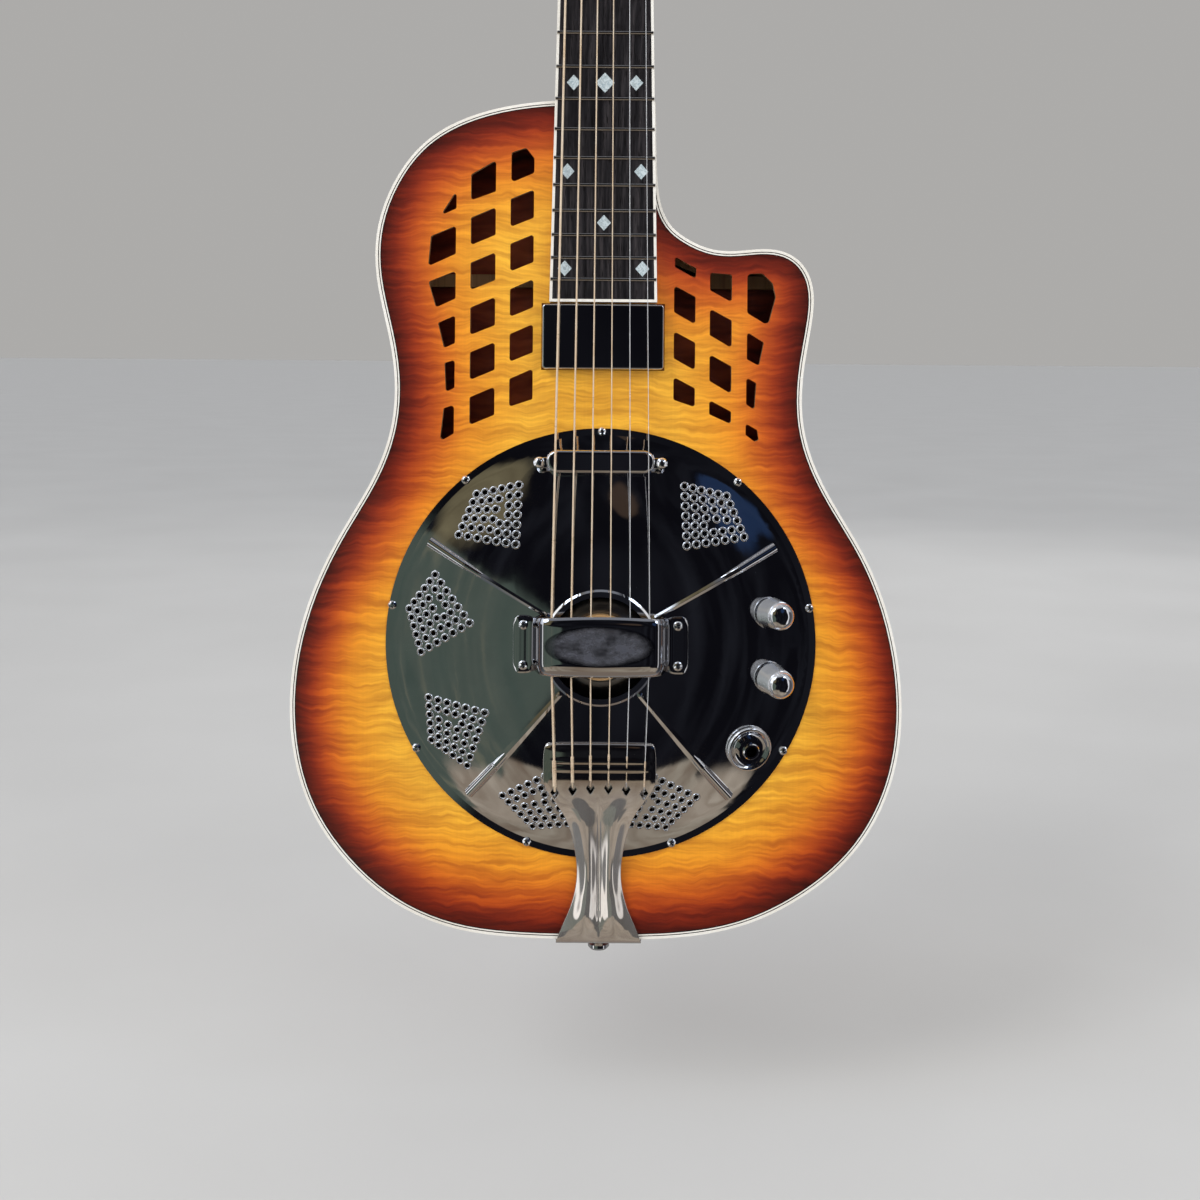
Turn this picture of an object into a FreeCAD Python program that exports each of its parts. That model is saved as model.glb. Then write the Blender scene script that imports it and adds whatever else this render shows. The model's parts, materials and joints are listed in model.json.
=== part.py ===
import FreeCAD, Part
import math
import os

# Resonator guitar, millimetres. X towards the treble side, Y towards the back and Z up the neck.
# The flat back is at y = 0, and the resonator's axis is the Y axis.

os.makedirs("parts", exist_ok=True)
V = FreeCAD.Vector
Rot = FreeCAD.Rotation
Pl = FreeCAD.Placement
doc = FreeCAD.newDocument("resonator_guitar")

# ---------------------------------------------------------------- sizes
SIZES = [
    ("body_depth", 76.0), ("top_thickness", 5.0), ("back_thickness", 4.0), ("side_thickness", 3.2),
    ("binding_width", 1.6), ("purfling_total", 3.4), ("purfling_depth", 2.0), ("lining_width", 9.0),
    ("lining_height", 12.0), ("cone_opening_radius", 121.5), ("cover_thickness", 1.2),
    ("perforation_radius", 1.8), ("scale_length", 635.0), ("saddle_height", 21.4), ("neck_tilt", 1.7),
    ("board_thickness", 6.5), ("board_width_nut", 46.3), ("board_taper", 0.0375), ("fret_crown", 1.1),
    ("nut_length", 5.0), ("nut_height", 7.9), ("head_tilt", 13.0), ("head_thickness", 14.0),
    ("veneer_thickness", 2.0), ("worm_centres", 6.2), ("worm_pitch", 1.885), ("worm_root", 1.4),
    ("wheel_width", 3.6), ("knob_radius", 9.6), ("knob_height", 21.6), ("pot_shaft_radius", 3.0),
    ("slim_radius", 6.7), ("tail_sheet", 2.0), ("rest_sheet", 1.8),
]
sheet = doc.addObject("Spreadsheet::Sheet", "sizes")
S = {}
for row, (alias, value) in enumerate(SIZES, start=1):
    sheet.set("A%d" % row, alias)
    sheet.set("B%d" % row, str(value))
    sheet.setAlias("B%d" % row, alias)
    S[alias] = value
doc.recompute()
TOP = -S["body_depth"]
NODES = []


# ---------------------------------------------------------------- helpers
def bind(obj, exprs):
    for prop, expr in exprs.items():
        obj.setExpression(prop, expr.replace("$", "sizes."))
    return obj


def box(name, x, y, z, lo, frame=Pl(), exprs={}):
    o = doc.addObject("Part::Box", name)
    o.Length, o.Width, o.Height = x, y, z
    o.Placement = frame.multiply(Pl(V(*lo), Rot()))
    return bind(o, exprs)


def span(name, x0, x1, y0, y1, z0, z1, frame=Pl(), exprs={}):
    return box(name, x1 - x0, y1 - y0, z1 - z0, (x0, y0, z0), frame, exprs)


def turn_to(d):
    return Rot(V(0, 0, 1), V(*d))


def cyl(name, r, h, at, d=(0, 0, 1), frame=Pl(), exprs={}, angle=360):
    o = doc.addObject("Part::Cylinder", name)
    o.Radius, o.Height, o.Angle = r, h, angle
    o.Placement = frame.multiply(Pl(V(*at), turn_to(d)))
    return bind(o, exprs)


def cone(name, r1, r2, h, at, d=(0, 0, 1), frame=Pl()):
    o = doc.addObject("Part::Cone", name)
    o.Radius1, o.Radius2, o.Height = r1, r2, h
    o.Placement = frame.multiply(Pl(V(*at), turn_to(d)))
    return o


def ball(name, r, at, frame=Pl(), turn=Rot()):
    o = doc.addObject("Part::Sphere", name)
    o.Radius = r
    o.Placement = frame.multiply(Pl(V(*at), turn))
    return o


def polygon(name, points):
    o = doc.addObject("Part::Polygon", name)
    o.Nodes = [V(*p) for p in points]
    o.Close = True
    return o


def extrude(name, base, d, length, frame=Pl(), exprs={}):
    o = doc.addObject("Part::Extrusion", name)
    o.Base = base
    o.DirMode = "Custom"
    o.Dir = V(*d)
    o.LengthFwd = length
    o.Solid = True
    o.Placement = frame
    return bind(o, exprs)


def spin(name, base, at, d, frame=Pl()):
    o = doc.addObject("Part::Revolution", name)
    o.Source = base
    o.Base = V(*at)
    o.Axis = V(*d)
    o.Angle = 360
    o.Solid = True
    o.Placement = frame
    return o


def lathe(name, rh, frame=Pl()):
    """Solid of revolution about local Z from (radius, height) corners."""
    return spin(name, polygon(name + "_profile", [(r, 0, h) for r, h in rh]), (0, 0, 0), (0, 0, 1), frame)


def cut(name, a, b, frame=Pl()):
    o = doc.addObject("Part::Cut", name)
    o.Base, o.Tool = a, b
    o.Placement = frame
    return o


def common(name, a, b, frame=Pl()):
    o = doc.addObject("Part::Common", name)
    o.Base, o.Tool = a, b
    o.Placement = frame
    return o


def fuse(name, parts, frame=Pl()):
    o = doc.addObject("Part::MultiFuse", name)
    o.Shapes = parts
    o.Placement = frame
    return o


def group(name, parts, frame=Pl()):
    o = doc.addObject("Part::Compound", name)
    o.Links = parts
    o.Placement = frame
    return o


def node(obj, label):
    obj.Label = label
    NODES.append(obj)
    return obj


def flat_sketch(name, frame=Pl()):
    """Sketch whose x runs along X and whose y runs along Z."""
    o = doc.addObject("Sketcher::SketchObject", name)
    o.Placement = frame.multiply(Pl(V(), Rot(V(1, 0, 0), 90)))
    return o


def spline(sketch, points):
    curve = Part.BSplineCurve()
    curve.interpolate([V(p[0], p[1], 0) for p in points])
    sketch.addGeometry(curve, False)


def line(sketch, a, b):
    sketch.addGeometry(Part.LineSegment(V(a[0], a[1], 0), V(b[0], b[1], 0)), False)


def rounded(sketch, corners, radius):
    """Closed loop of straight sides with every corner rounded."""
    trims = []
    n = len(corners)
    for i in range(n):
        p = V(corners[i][0], corners[i][1], 0)
        a = (V(corners[i - 1][0], corners[i - 1][1], 0) - p)
        b = (V(corners[(i + 1) % n][0], corners[(i + 1) % n][1], 0) - p)
        half = a.getAngle(b) / 2.0
        r = min(radius, 0.4 * min(a.Length, b.Length) * math.tan(half))
        a.normalize()
        b.normalize()
        reach = r / math.tan(half)
        bis = (a + b).normalize()
        centre = p + bis * (r / math.sin(half))
        trims.append((p + a * reach, centre - bis * r, p + b * reach))
    for i in range(n):
        sketch.addGeometry(Part.Arc(*trims[i]), False)
        line(sketch, trims[i][2], trims[(i + 1) % n][0])


# ---------------------------------------------------------------- body outline
TREBLE = [(29.8, 318.4), (30.3, 299), (31.0, 278), (33.0, 260), (39.5, 245.6), (50, 237.4), (62, 232.3),
          (76, 230.9), (96, 232.3), (110, 229), (119, 220.6), (123.3, 208.5), (122.8, 190),
          (118.6, 164), (117.2, 147), (118.2, 129), (124, 107.5), (134.8, 85.5), (154, 53.5), (168, 20),
          (176.2, -20), (176.6, -54), (168, -91), (150.5, -121.3), (121, -147.5), (86, -165), (45, -172.9),
          (0, -174.2)]
BASS = [(-45, -173.4), (-82, -169), (-118, -154.8), (-149, -129), (-170.5, -97), (-181, -60),
        (-181.8, -23), (-172.5, 21), (-153, 64), (-133, 99.5), (-124, 127), (-122.2, 152), (-126, 180),
        (-133, 212), (-133.4, 240), (-124, 269), (-105, 294), (-77, 309.6), (-54, 315.6), (-31, 318.4)]
outline = flat_sketch("outline")
spline(outline, TREBLE + BASS)
line(outline, BASS[-1], TREBLE[0])


RIM = Part.BSplineCurve()
RIM.interpolate([V(p[0], p[1], 0) for p in TREBLE + BASS])


def inset(name, d):
    """Outline moved inwards by d, with its flat edge at the neck moved down by the same amount."""
    def moved(t):
        p, g = RIM.value(t), RIM.tangent(t)[0]
        return (p.x + g.y * d, p.y - g.x * d)

    def crossing(inner, outer):
        for _ in range(40):
            mid = 0.5 * (inner + outer)
            inner, outer = (mid, outer) if moved(mid)[1] < 318.4 - d else (inner, mid)
        return inner

    t0, t1 = RIM.FirstParameter, RIM.LastParameter
    a = crossing(t0 + 0.05 * (t1 - t0), t0)
    b = crossing(t1 - 0.05 * (t1 - t0), t1)
    pts = [moved(a + (b - a) * i / 150.0) for i in range(151)]
    pts[0], pts[-1] = (pts[0][0], 318.4 - d), (pts[-1][0], 318.4 - d)
    o = flat_sketch(name)
    spline(o, pts)
    line(o, pts[-1], pts[0])
    return o


PURFLING = S["purfling_total"]
edge_binding = inset("inset_binding", S["binding_width"])
edge_line1 = inset("inset_line1", S["binding_width"] + 0.5)
edge_line2 = inset("inset_line2", PURFLING - 0.5)
edge_purfling = inset("inset_purfling", PURFLING)
edge_side = inset("inset_side", S["side_thickness"])
edge_lining = inset("inset_lining", S["side_thickness"] + S["lining_width"])


def slab(name, base, y0, y1):
    """Plate of a flat outline from depth y0 (nearer the back) to y1 (nearer the front)."""
    return extrude(name, base, (0, -1, 0), y0 - y1, Pl(V(0, y0, 0), Rot()))


# ---------------------------------------------------------------- body shell
T0 = TOP + S["top_thickness"]
T1 = TOP + S["purfling_depth"]
B0 = -S["back_thickness"]

cells = flat_sketch("lattice_cells")
for x0, x1, rows in (
        (-54.9, -41.2, [(260.6, 266.3, 249.6, 244.1), (234.2, 240.0, 223.6, 217.9),
                        (207.5, 213.6, 197.0, 191.2),
                        (181.1, 187.2, 170.5, 164.8), (154.8, 160.9, 143.0, 138.4)]),
        (-78.2, -63.6, [(274.9, 283.4, 264.9, 259.6), (249.4, 255.7, 239.4, 233.2),
                        (222.9, 229.2, 212.8, 206.8),
                        (196.5, 202.9, 186.3, 180.4), (170.2, 176.4, 160.1, 153.9),
                        (143.8, 150.1, 133.6, 127.5)]),
        (41.6, 54.2, [(210.5, 203.8, 187.6, 194.8), (183.6, 176.9, 160.6, 167.6),
                      (156.7, 150.1, 139.0, 143.3)]),
        (62.7, 75.6, [(218.1, 217.2, 200.8, 207.8), (197.0, 190.1, 173.9, 181.4),
                      (170.2, 163.1, 146.9, 154.5),
                      (143.3, 136.5, 129.1, 134.9)])):
    for tl, tr, br, bl in rows:
        rounded(cells, [(x0, tl), (x1, tr), (x1, br), (x0, bl)], 1.4)
rounded(cells, [(-54.6, 287.9), (-46.0, 290.8), (-41.1, 284.6), (-41.1, 276.0), (-54.6, 270.2)], 1.8)
rounded(cells, [(-86.7, 265.6), (-86.7, 254.8), (-96.2, 250.4)], 1.0)
rounded(cells, [(-101.6, 238.4), (-86.9, 244.7), (-86.9, 228.1), (-103.2, 220.6)], 1.4)
rounded(cells, [(-102.9, 211.6), (-86.9, 218.1), (-86.9, 201.8), (-98.4, 196.5)], 1.4)
rounded(cells, [(-97.1, 187.4), (-87.0, 191.9), (-87.0, 175.6), (-93.5, 172.6)], 1.2)
rounded(cells, [(-93.1, 163.9), (-87.1, 165.7), (-87.1, 149.3), (-92.2, 146.8)], 1.2)
rounded(cells, [(-93.4, 137.3), (-87.3, 139.3), (-87.3, 122.4), (-95.6, 117.6)], 1.6)
rounded(cells, [(42.0, 227.6), (50.3, 222.7), (54.6, 220.8), (54.2, 214.6), (42.0, 221.2)], 1.0)
rounded(cells, [(84.6, 217.7), (93.5, 218.0), (99.6, 212.0), (101.4, 204.0), (97.0, 187.2), (84.6, 194.6)],
        2.6)
rounded(cells, [(84.6, 183.5), (94.6, 177.2), (91.8, 163.6), (84.6, 167.4)], 1.2)
rounded(cells, [(84.4, 156.7), (90.3, 153.4), (89.3, 137.6), (84.4, 141.0)], 1.2)
rounded(cells, [(84.2, 129.7), (91.0, 125.8), (92.0, 120.0), (89.4, 119.0), (84.2, 123.0)], 1.0)
lattice = slab("lattice", cells, T0 + 5, TOP - 5)

PICKUP_Z = 160.9
pickup_hole = span("pickup_hole", -36.2, 36.2, TOP - 5, T0 + 5, PICKUP_Z - 0.6, PICKUP_Z + 38.6)
cone_hole = cyl("cone_hole", 121.5, 20, (0, T0 + 5, 0), (0, -1, 0), exprs={"Radius": "$cone_opening_radius"})
top_blank = fuse("top_blank", [slab("top_lower", edge_binding, T0, T1),
                               slab("top_upper", edge_purfling, T1, TOP)])
openings = group("top_openings", [lattice, pickup_hole, cone_hole])
soundboard = node(cut("soundboard_solid", top_blank, openings), "soundboard")

node(cut("binding_ring", slab("binding_outer", outline, T0, TOP), slab("binding_inner", edge_binding,
                                                                       T0 + 1, TOP - 1)),
     "top_binding")
black_a = cut("line_ring_a", slab("line_a_out", edge_binding, T1, TOP), slab("line_a_in", edge_line1,
                                                                             T1 + 1, TOP - 1))
black_b = cut("line_ring_b", slab("line_b_out", edge_line2, T1, TOP), slab("line_b_in", edge_purfling,
                                                                           T1 + 1, TOP - 1))
node(group("line_rings", [black_a, black_b]), "top_purfling_black")
node(cut("line_ring_white", slab("line_w_out", edge_line1, T1, TOP), slab("line_w_in", edge_line2, T1 + 1,
                                                                          TOP - 1)),
     "top_purfling_white")
node(cut("side_ring", slab("side_outer", outline, B0, T0), slab("side_inner", edge_side, B0 + 1, T0 - 1)),
     "sides")
node(slab("back_solid", edge_binding, 0, B0), "back_plate")
node(cut("back_ring", slab("back_outer", outline, 0, B0), slab("back_inner", edge_binding, 1, B0 - 1)),
     "back_binding")

cavity = slab("cavity_prism", edge_side, B0, T0)
neck_block = common("neck_block_solid", span("neck_block_box", -28, 26.4, T0, B0, 255, 330), cavity)
tail_block = common("tail_block_solid", span("tail_block_box", -45, 45, T0, B0, -180, -140), cavity)
node(group("end_block_set", [neck_block, tail_block]), "end_blocks")
H = S["lining_height"]
lining_parts = []
for tag, y0, y1 in (("front", T0 + H, T0), ("back", B0, B0 - H)):
    ring = cut("lining_ring_" + tag, slab("lining_out_" + tag, edge_side, y0, y1),
               slab("lining_in_" + tag, edge_lining, y0 + 1, y1 - 1))
    blocks = group("lining_gaps_" + tag, [span("gap_a_" + tag, -28, 40, y1, y0, 255, 330),
                                          span("gap_b_" + tag, -45, 45, y1, y0, -180, -140)])
    lining_parts.append(cut("lining_" + tag, ring, blocks))
node(group("lining_set", lining_parts), "linings")
inner = slab("brace_room", edge_lining, B0, B0 - 20)
braces = [common("brace_%d" % i, span("brace_bar_%d" % i, -200, 200, B0 - 12, B0, z - 4, z + 4), inner)
          for i, z in enumerate((215, 60, -95))]
support = span("support_bar", -20, 20, -68.5, -44, 166, 194)
node(group("brace_set", braces + [support]), "inner_braces")
node(span("stick_bar", -17, 17, -44, -19, -140, 255), "neck_stick")

# ---------------------------------------------------------------- resonator
# Local frame with Z out of the front of the guitar; heights are above the soundboard.
FRONT = Pl(V(0, TOP, 0), Rot(V(1, 0, 0), 90))
node(lathe("soundwell_ring", [(121.5, -5), (127, -5), (127, -30), (112, -30), (112, -24), (121.5, -24)],
           FRONT),
     "soundwell")
cone_top = [(120.5, -23.2), (114, -23.2), (112.4, -21.4), (110, -21.2), (107.6, -22.8), (24, 9.2),
            (21, 10), (0.0, 10)]
node(lathe("cone_shell", cone_top + [(r, h - 0.8) for r, h in reversed(cone_top)], FRONT), "resonator_cone")
node(cyl("biscuit_disc", 19, 5, (0, 0, 10), frame=FRONT), "biscuit")
SADDLE_Z = 1.0
saddle_face = polygon("saddle_profile", [(-16, SADDLE_Z - 1.5, 15), (16, SADDLE_Z - 1.5, 15),
                                         (30.5, SADDLE_Z - 1.5, 19),
                                         (30.5, SADDLE_Z - 1.5, 21.4), (-30.5, SADDLE_Z - 1.5, 21.4),
                                         (-30.5, SADDLE_Z - 1.5, 19)])
node(extrude("saddle_bar", saddle_face, (0, 1, 0), 3.0, FRONT), "saddle")


def dome(r):
    """Height of the coverplate's outer surface above the soundboard at radius r."""
    table = [(33.5, 15.8), (40, 15.6), (58, 15.0), (74, 13.7), (88, 11.4), (100, 8.3), (112, 4.4),
             (119, 2.0),
             (122.3, 1.2)]
    for (r0, h0), (r1, h1) in zip(table, table[1:]):
        if r <= r1:
            return h0 + (h1 - h0) * (r - r0) / (r1 - r0)
    return 1.2


# Coverplate: flat rim, dome and a lipped central opening.
ct = S["cover_thickness"]
profile = doc.addObject("Sketcher::SketchObject", "cover_profile")
profile.Placement = Pl(V(), Rot(V(1, 0, 0), 90))
outer = [(122.3, 1.2), (119, 2.0), (112, 4.4), (100, 8.3), (88, 11.4), (74, 13.7), (58, 15.0), (40, 15.6),
         (33.8, 15.8)]
spline(profile, outer)
line(profile, (33.8, 15.8), (32.6, 16.6))
line(profile, (32.6, 16.6), (29.5, 16.6))
line(profile, (29.5, 16.6), (29.5, 14.6))
line(profile, (29.5, 14.6), (33.8, 14.6))
spline(profile, [(r, h - ct) for r, h in reversed(outer)])
line(profile, (122.3, 0), (126.2, 0))
line(profile, (126.2, 0), (126.2, 1.2))
line(profile, (126.2, 1.2), (122.3, 1.2))
cover_shell = spin("cover_shell", profile, (0, 0, 0), (0, 0, 1), FRONT)


def polar(r, deg, h=0.0):
    return (r * math.cos(math.radians(deg)), r * math.sin(math.radians(deg)), h)


# One ridge runs down the dome in two tapered lengths.
ridges = []
for i, deg in enumerate((149.5, 29.5, -131, -49.5)):
    knee, top_end, low_end = polar(92, deg, 10.2), polar(37, deg, 15.1), polar(116.5, deg, 2.7)
    for tag, a, b, ra, rb, more in (("in", top_end, knee, 1.3, 2.5, 1.0), ("out", low_end, knee, 3.0, 2.55,
                                                                           0.6)):
        d = V(*b) - V(*a)
        ridges.append(cone("ridge_%s_%d" % (tag, i), ra, rb, d.Length + more, a, (d.x, d.y, d.z), FRONT))

# Perforations: seven fanned rows in each of six groups, set about every second rim screw.
INNER, OUTER, SIDE = (77.2, 0.0), (113.8, 0.0), (102.3, 22.8)


def lerp(a, b, t):
    return (a[0] + (b[0] - a[0]) * t, a[1] + (b[1] - a[1]) * t)


def perforations(deg):
    spots = []
    left, right = (SIDE[0], -SIDE[1]), SIDE
    for row in range(7):
        near = lerp(right, INNER, row / 6.0)
        far = lerp(OUTER, left, (0, 0.2, 0.4, 0.6, 0.7, 0.8, 1.0)[row])
        count = (6, 6, 6, 6, 7, 7, 7)[row]
        for k in range(3 if row == 4 else count):
            u, v = lerp(near, far, k / (count - 1.0))
            c, s = math.cos(math.radians(deg)), math.sin(math.radians(deg))
            spots.append((u * c - v * s, u * s + v * c))
    return spots


punches = []
for deg in (50, 130, 170, 210, 250, 290):
    for k, (px, pz) in enumerate(perforations(deg)):
        punches.append(cyl("punch_%d_%d" % (deg, k), 1.8, 30, (px, pz, -4), frame=FRONT,
                           exprs={"Radius": "$perforation_radius"}))
SCREWS = [90 + 40 * i for i in range(9)]
for i, deg in enumerate(SCREWS):
    punches.append(cyl("screw_hole_%d" % i, 1.5, 6, polar(124.4, deg, -2), frame=FRONT))


def dome_frame(r, deg, slope):
    c, s = math.cos(math.radians(deg)), math.sin(math.radians(deg))
    t = math.radians(slope)
    out = V(math.sin(t) * c, math.sin(t) * s, math.cos(t))
    return FRONT.multiply(Pl(V(r * c, r * s, dome(r)), Rot(V(0, 0, 1), out)))


CONTROLS = {"volume": dome_frame(100.5, 11.3, 16.5), "tone": dome_frame(100.5, -10.3, 16.5)}
JACK = dome_frame(105.0, -34.4, 17.5)
for tag, fr in CONTROLS.items():
    punches.append(cyl("pot_hole_" + tag, 4.1, 16, (0, 0, -8), frame=fr))
punches.append(cyl("jack_hole", 5.0, 16, (0, 0, -8), frame=JACK))
REST_SCREWS = [(sx * 44.6, z, 0) for sx in (-1, 1) for z in (-9.8, 13.4)]
for i, (x, z, h) in enumerate(REST_SCREWS):
    punches.append(cyl("rest_hole_%d" % i, 1.5, 12, (x, z, 10), frame=FRONT))
SLIM = [(sx * 35.6 - 0.8, 106.6) for sx in (-1, 1)]
for i, (x, z) in enumerate(SLIM):
    punches.append(cyl("slim_hole_%d" % i, 1.5, 24, (x, z, -6), frame=FRONT))
node(cut("cover_solid", fuse("cover_blank", [cover_shell] + ridges), group("punch_set", punches)),
     "coverplate")


def round_screw(name, head, shank, length, at, frame):
    """Domed head seated at the given point with its shank below."""
    stem = cyl(name + "_stem", shank, length + 0.2, (at[0], at[1], at[2] - length), frame=frame)
    cap = lathe(name + "_cap", [(0.0, 0.0), (head, 0.0), (head, 0.3), (0.8 * head, 0.42 * head + 0.3),
                                (0.45 * head, 0.62 * head + 0.3), (0.0, 0.68 * head + 0.3)])
    cap.Placement = frame.multiply(Pl(V(*at), Rot()))
    slot_a = span(name + "_slot_a", -0.62 * head, 0.62 * head, -0.3, 0.3, 0.45 * head, head)
    slot_b = span(name + "_slot_b", -0.3, 0.3, -0.62 * head, 0.62 * head, 0.45 * head, head)
    cross = group(name + "_cross", [slot_a, slot_b], frame.multiply(Pl(V(*at), Rot(V(0, 0, 1), 27))))
    return cut(name, fuse(name + "_blank", [stem, cap]), cross)


plate_screws = [round_screw("cover_screw_%d" % i, 2.5, 1.4, 11, polar(124.4, deg, 1.2), FRONT)
                for i, deg in enumerate(SCREWS)]

# Hand rest: arched strap over the saddle with a foot and two screws at each end.
rs = S["rest_sheet"]
arch = [(51, 17.4), (41.7, 17.5), (39.4, 18.7), (36.8, 24.5), (33, 27.6), (27.5, 28.8)]
arch = arch + [(-x, h) for x, h in reversed(arch)]
under = [(-51, 15.75), (-41.2, 15.75), (-38.2, 17.2), (-35.2, 23.6), (-32, 25.8), (-27, 27.0)]
under = under + [(-x, h) for x, h in reversed(under)]
strap = extrude("rest_strap", polygon("rest_profile", [(x, -22, h) for x, h in arch + under]), (0, 1, 0),
                50, FRONT)
plan = doc.addObject("Sketcher::SketchObject", "rest_plan")
plan.Placement = FRONT
rounded(plan, [(-50.5, -14.8), (50.5, -14.8), (50.5, 19.2), (-50.5, 19.2)], 4.0)
rest_plate = common("rest_plate", strap, extrude("rest_prism", plan, (0, -1, 0), 40))
dish_rim = doc.addObject("Part::Ellipse", "rest_dish_rim")
dish_rim.MajorRadius, dish_rim.MinorRadius = 26.5, 11.4
dish_rim.Placement = FRONT.multiply(Pl(V(-0.5, 2.3, 28.0), Rot()))
dish = extrude("rest_dish", dish_rim, (0, -1, 0), 6)
rest_holes = group("rest_holes", [cyl("rest_bore_%d" % i, 1.5, 12, (x, z, 10), frame=FRONT)
                                  for i, (x, z, h) in enumerate(REST_SCREWS)] + [dish])
node(cut("rest_solid", rest_plate, rest_holes), "hand_rest")
plate_screws += [round_screw("rest_screw_%d" % i, 2.7, 1.4, 5, (x, z, 17.52), FRONT)
                 for i, (x, z, h) in enumerate(REST_SCREWS)]
node(group("plate_screw_set", plate_screws), "coverplate_screws")

# ---------------------------------------------------------------- pickups
pw, pl = 35.6, 38.0
cover_box = span("pickup_outer", -pw, pw, PICKUP_Z, PICKUP_Z + pl, -6, 9.4, FRONT)
cover_in = span("pickup_inner", -pw + 0.8, pw - 0.8, PICKUP_Z + 0.8, PICKUP_Z + pl - 0.8, -7, 8.6, FRONT)
node(cut("pickup_shell", cover_box, cover_in), "neck_pickup_cover")
node(fuse("pickup_core", [
    span("pickup_bobbins", -pw + 0.8, pw - 0.8, PICKUP_Z + 0.8, PICKUP_Z + pl - 0.8, -6, 8.6, FRONT),
    span("pickup_base", -20, 20, 166, 194, -7.5, -6, FRONT)]), "neck_pickup_coils")
SX, SZ = -0.8, 107.4
slim_parts = [span("slim_bar", SX - 24.9, SX + 24.9, SZ - 6.7, SZ + 6.7, 8.6, 14.0, FRONT)]
for sx in (-1, 1):
    slim_parts.append(cyl("slim_end_%d" % (sx + 1), 6.7, 5.4, (SX + sx * 24.9, SZ, 8.6), frame=FRONT,
                          exprs={"Radius": "$slim_radius"}))
slim_parts.append(span("slim_strap", -35.6 + SX, 35.6 + SX, 103.6, 109.6, 10.0, 11.5, FRONT))
for i, (x, z) in enumerate(SLIM):
    slim_parts.append(cyl("slim_ear_%d" % i, 3.0, 1.5, (x, z, 10.0), frame=FRONT))
slim_case = fuse("slim_case", slim_parts)
slim_cuts = [span("slim_pocket", SX - 25, SX + 25, SZ - 5, SZ + 5, 5, 13.2, FRONT)]
slim_cuts += [cyl("slim_bore_%d" % i, 1.5, 6, (x, z, 8), frame=FRONT) for i, (x, z) in enumerate(SLIM)]
node(cut("slim_shell", slim_case, group("slim_cuts", slim_cuts)), "slim_pickup_cover")
node(span("slim_core", SX - 25, SX + 25, SZ - 5, SZ + 5, 8.8, 13.2, FRONT), "slim_pickup_coil")
slim_screws = []
for i, (x, z) in enumerate(SLIM):
    seat = cyl("slim_spacer_%d" % i, 2.4, 6.5, (x, z, 3.5), frame=FRONT)
    fixing = round_screw("slim_fixing_%d" % i, 3.3, 1.4, 14, (x, z, 11.5), FRONT)
    slim_screws.append(fuse("slim_screw_%d" % i, [seat, fixing]))
node(group("slim_screw_set", slim_screws), "slim_pickup_screws")

# ---------------------------------------------------------------- controls
kr, kh = S["knob_radius"], S["knob_height"]
KNOB = [(0.0, kh), (3.6, kh - 0.1), (6.3, kh - 0.7), (7.9, kh - 2.6), (8.5, kh - 5.6), (8.8, 6.4), (kr, 3.4),
        (kr, 1.6), (kr - 2, 1.6), (kr - 2, 4.0), (3.0, 4.0), (3.0, 15.0), (0.0, 15.0)]
for tag, fr in CONTROLS.items():
    node(lathe(tag + "_cap", KNOB, fr), tag + "_knob")
    node(cyl(tag + "_spindle", 3.0, 21.5, (0, 0, -6.5), frame=fr, exprs={"Radius": "$pot_shaft_radius"}),
         tag + "_shaft")
node(group("pot_case_set", [
    lathe(tag + "_pot", [(3.05, 3.6), (4.0, 3.6), (4.0, -1.7), (8.0, -1.7), (8.0, -9.0), (0.0, -9.0),
                         (0.0, -7.0),
                         (3.05, -7.0)], fr) for tag, fr in CONTROLS.items()]), "pot_cases")
nuts = []
for tag, fr in CONTROLS.items():
    hexagon = doc.addObject("Part::Prism", tag + "_hex")
    hexagon.Polygon, hexagon.Circumradius, hexagon.Height = 6, 6.2, 2.2
    hexagon.Placement = fr.multiply(Pl(V(0, 0, 0.35), Rot()))
    nuts.append(cut(tag + "_nut", hexagon, cyl(tag + "_nut_bore", 4.0, 6, (0, 0, -1), frame=fr)))
node(group("pot_nut_set", nuts), "pot_nuts")
node(lathe("jack_dish", [(5.0, 1.3), (9.4, 1.3), (12.2, 3.4), (13.4, 2.2), (13.4, 0.9), (12.4, 0.4),
                         (11.8, 1.3),
                         (9.6, 0.4), (5.0, 0.4)], JACK), "jack_cup")
node(lathe("jack_body", [(3.2, 6.0), (4.4, 6.0), (4.9, 5.5), (4.9, 4.6), (7.2, 4.6), (7.2, 1.4),
                         (4.9, 1.4), (4.9, -1.8),
                         (8.2, -1.8), (8.2, -12.0), (3.2, -12.0)], JACK), "output_jack")

# ---------------------------------------------------------------- tailpiece
tail_plan = doc.addObject("Sketcher::SketchObject", "tail_plan")
tail_plan.Placement = FRONT
half = [(0, -55.4), (20, -55.6), (28.5, -57.4), (32.3, -62.5), (32.8, -72), (32.4, -80), (29.5, -86),
        (25.2, -93),
        (19.6, -104), (15.4, -117), (13.2, -130), (13.4, -142), (16.6, -154), (21.4, -165), (24.6, -174.6)]
spline(tail_plan, half)
line(tail_plan, half[-1], (-24.6, -174.6))
spline(tail_plan, [(-x, z) for x, z in reversed(half)])
tail_prism = extrude("tail_prism", tail_plan, (0, -1, 0), 70, Pl(V(0, 30, 0), Rot()))
ridge = [(-176.5, 2.6), (-172, 3.6), (-160, 3.6), (-140, 4.4), (-128, 6.0), (-114, 9.4), (-100, 13.2),
         (-90, 15.8),
         (-80, 16.9), (-62, 17.4), (-57.4, 17.1), (-55.0, 16.1)]
ts = S["tail_sheet"]
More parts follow.
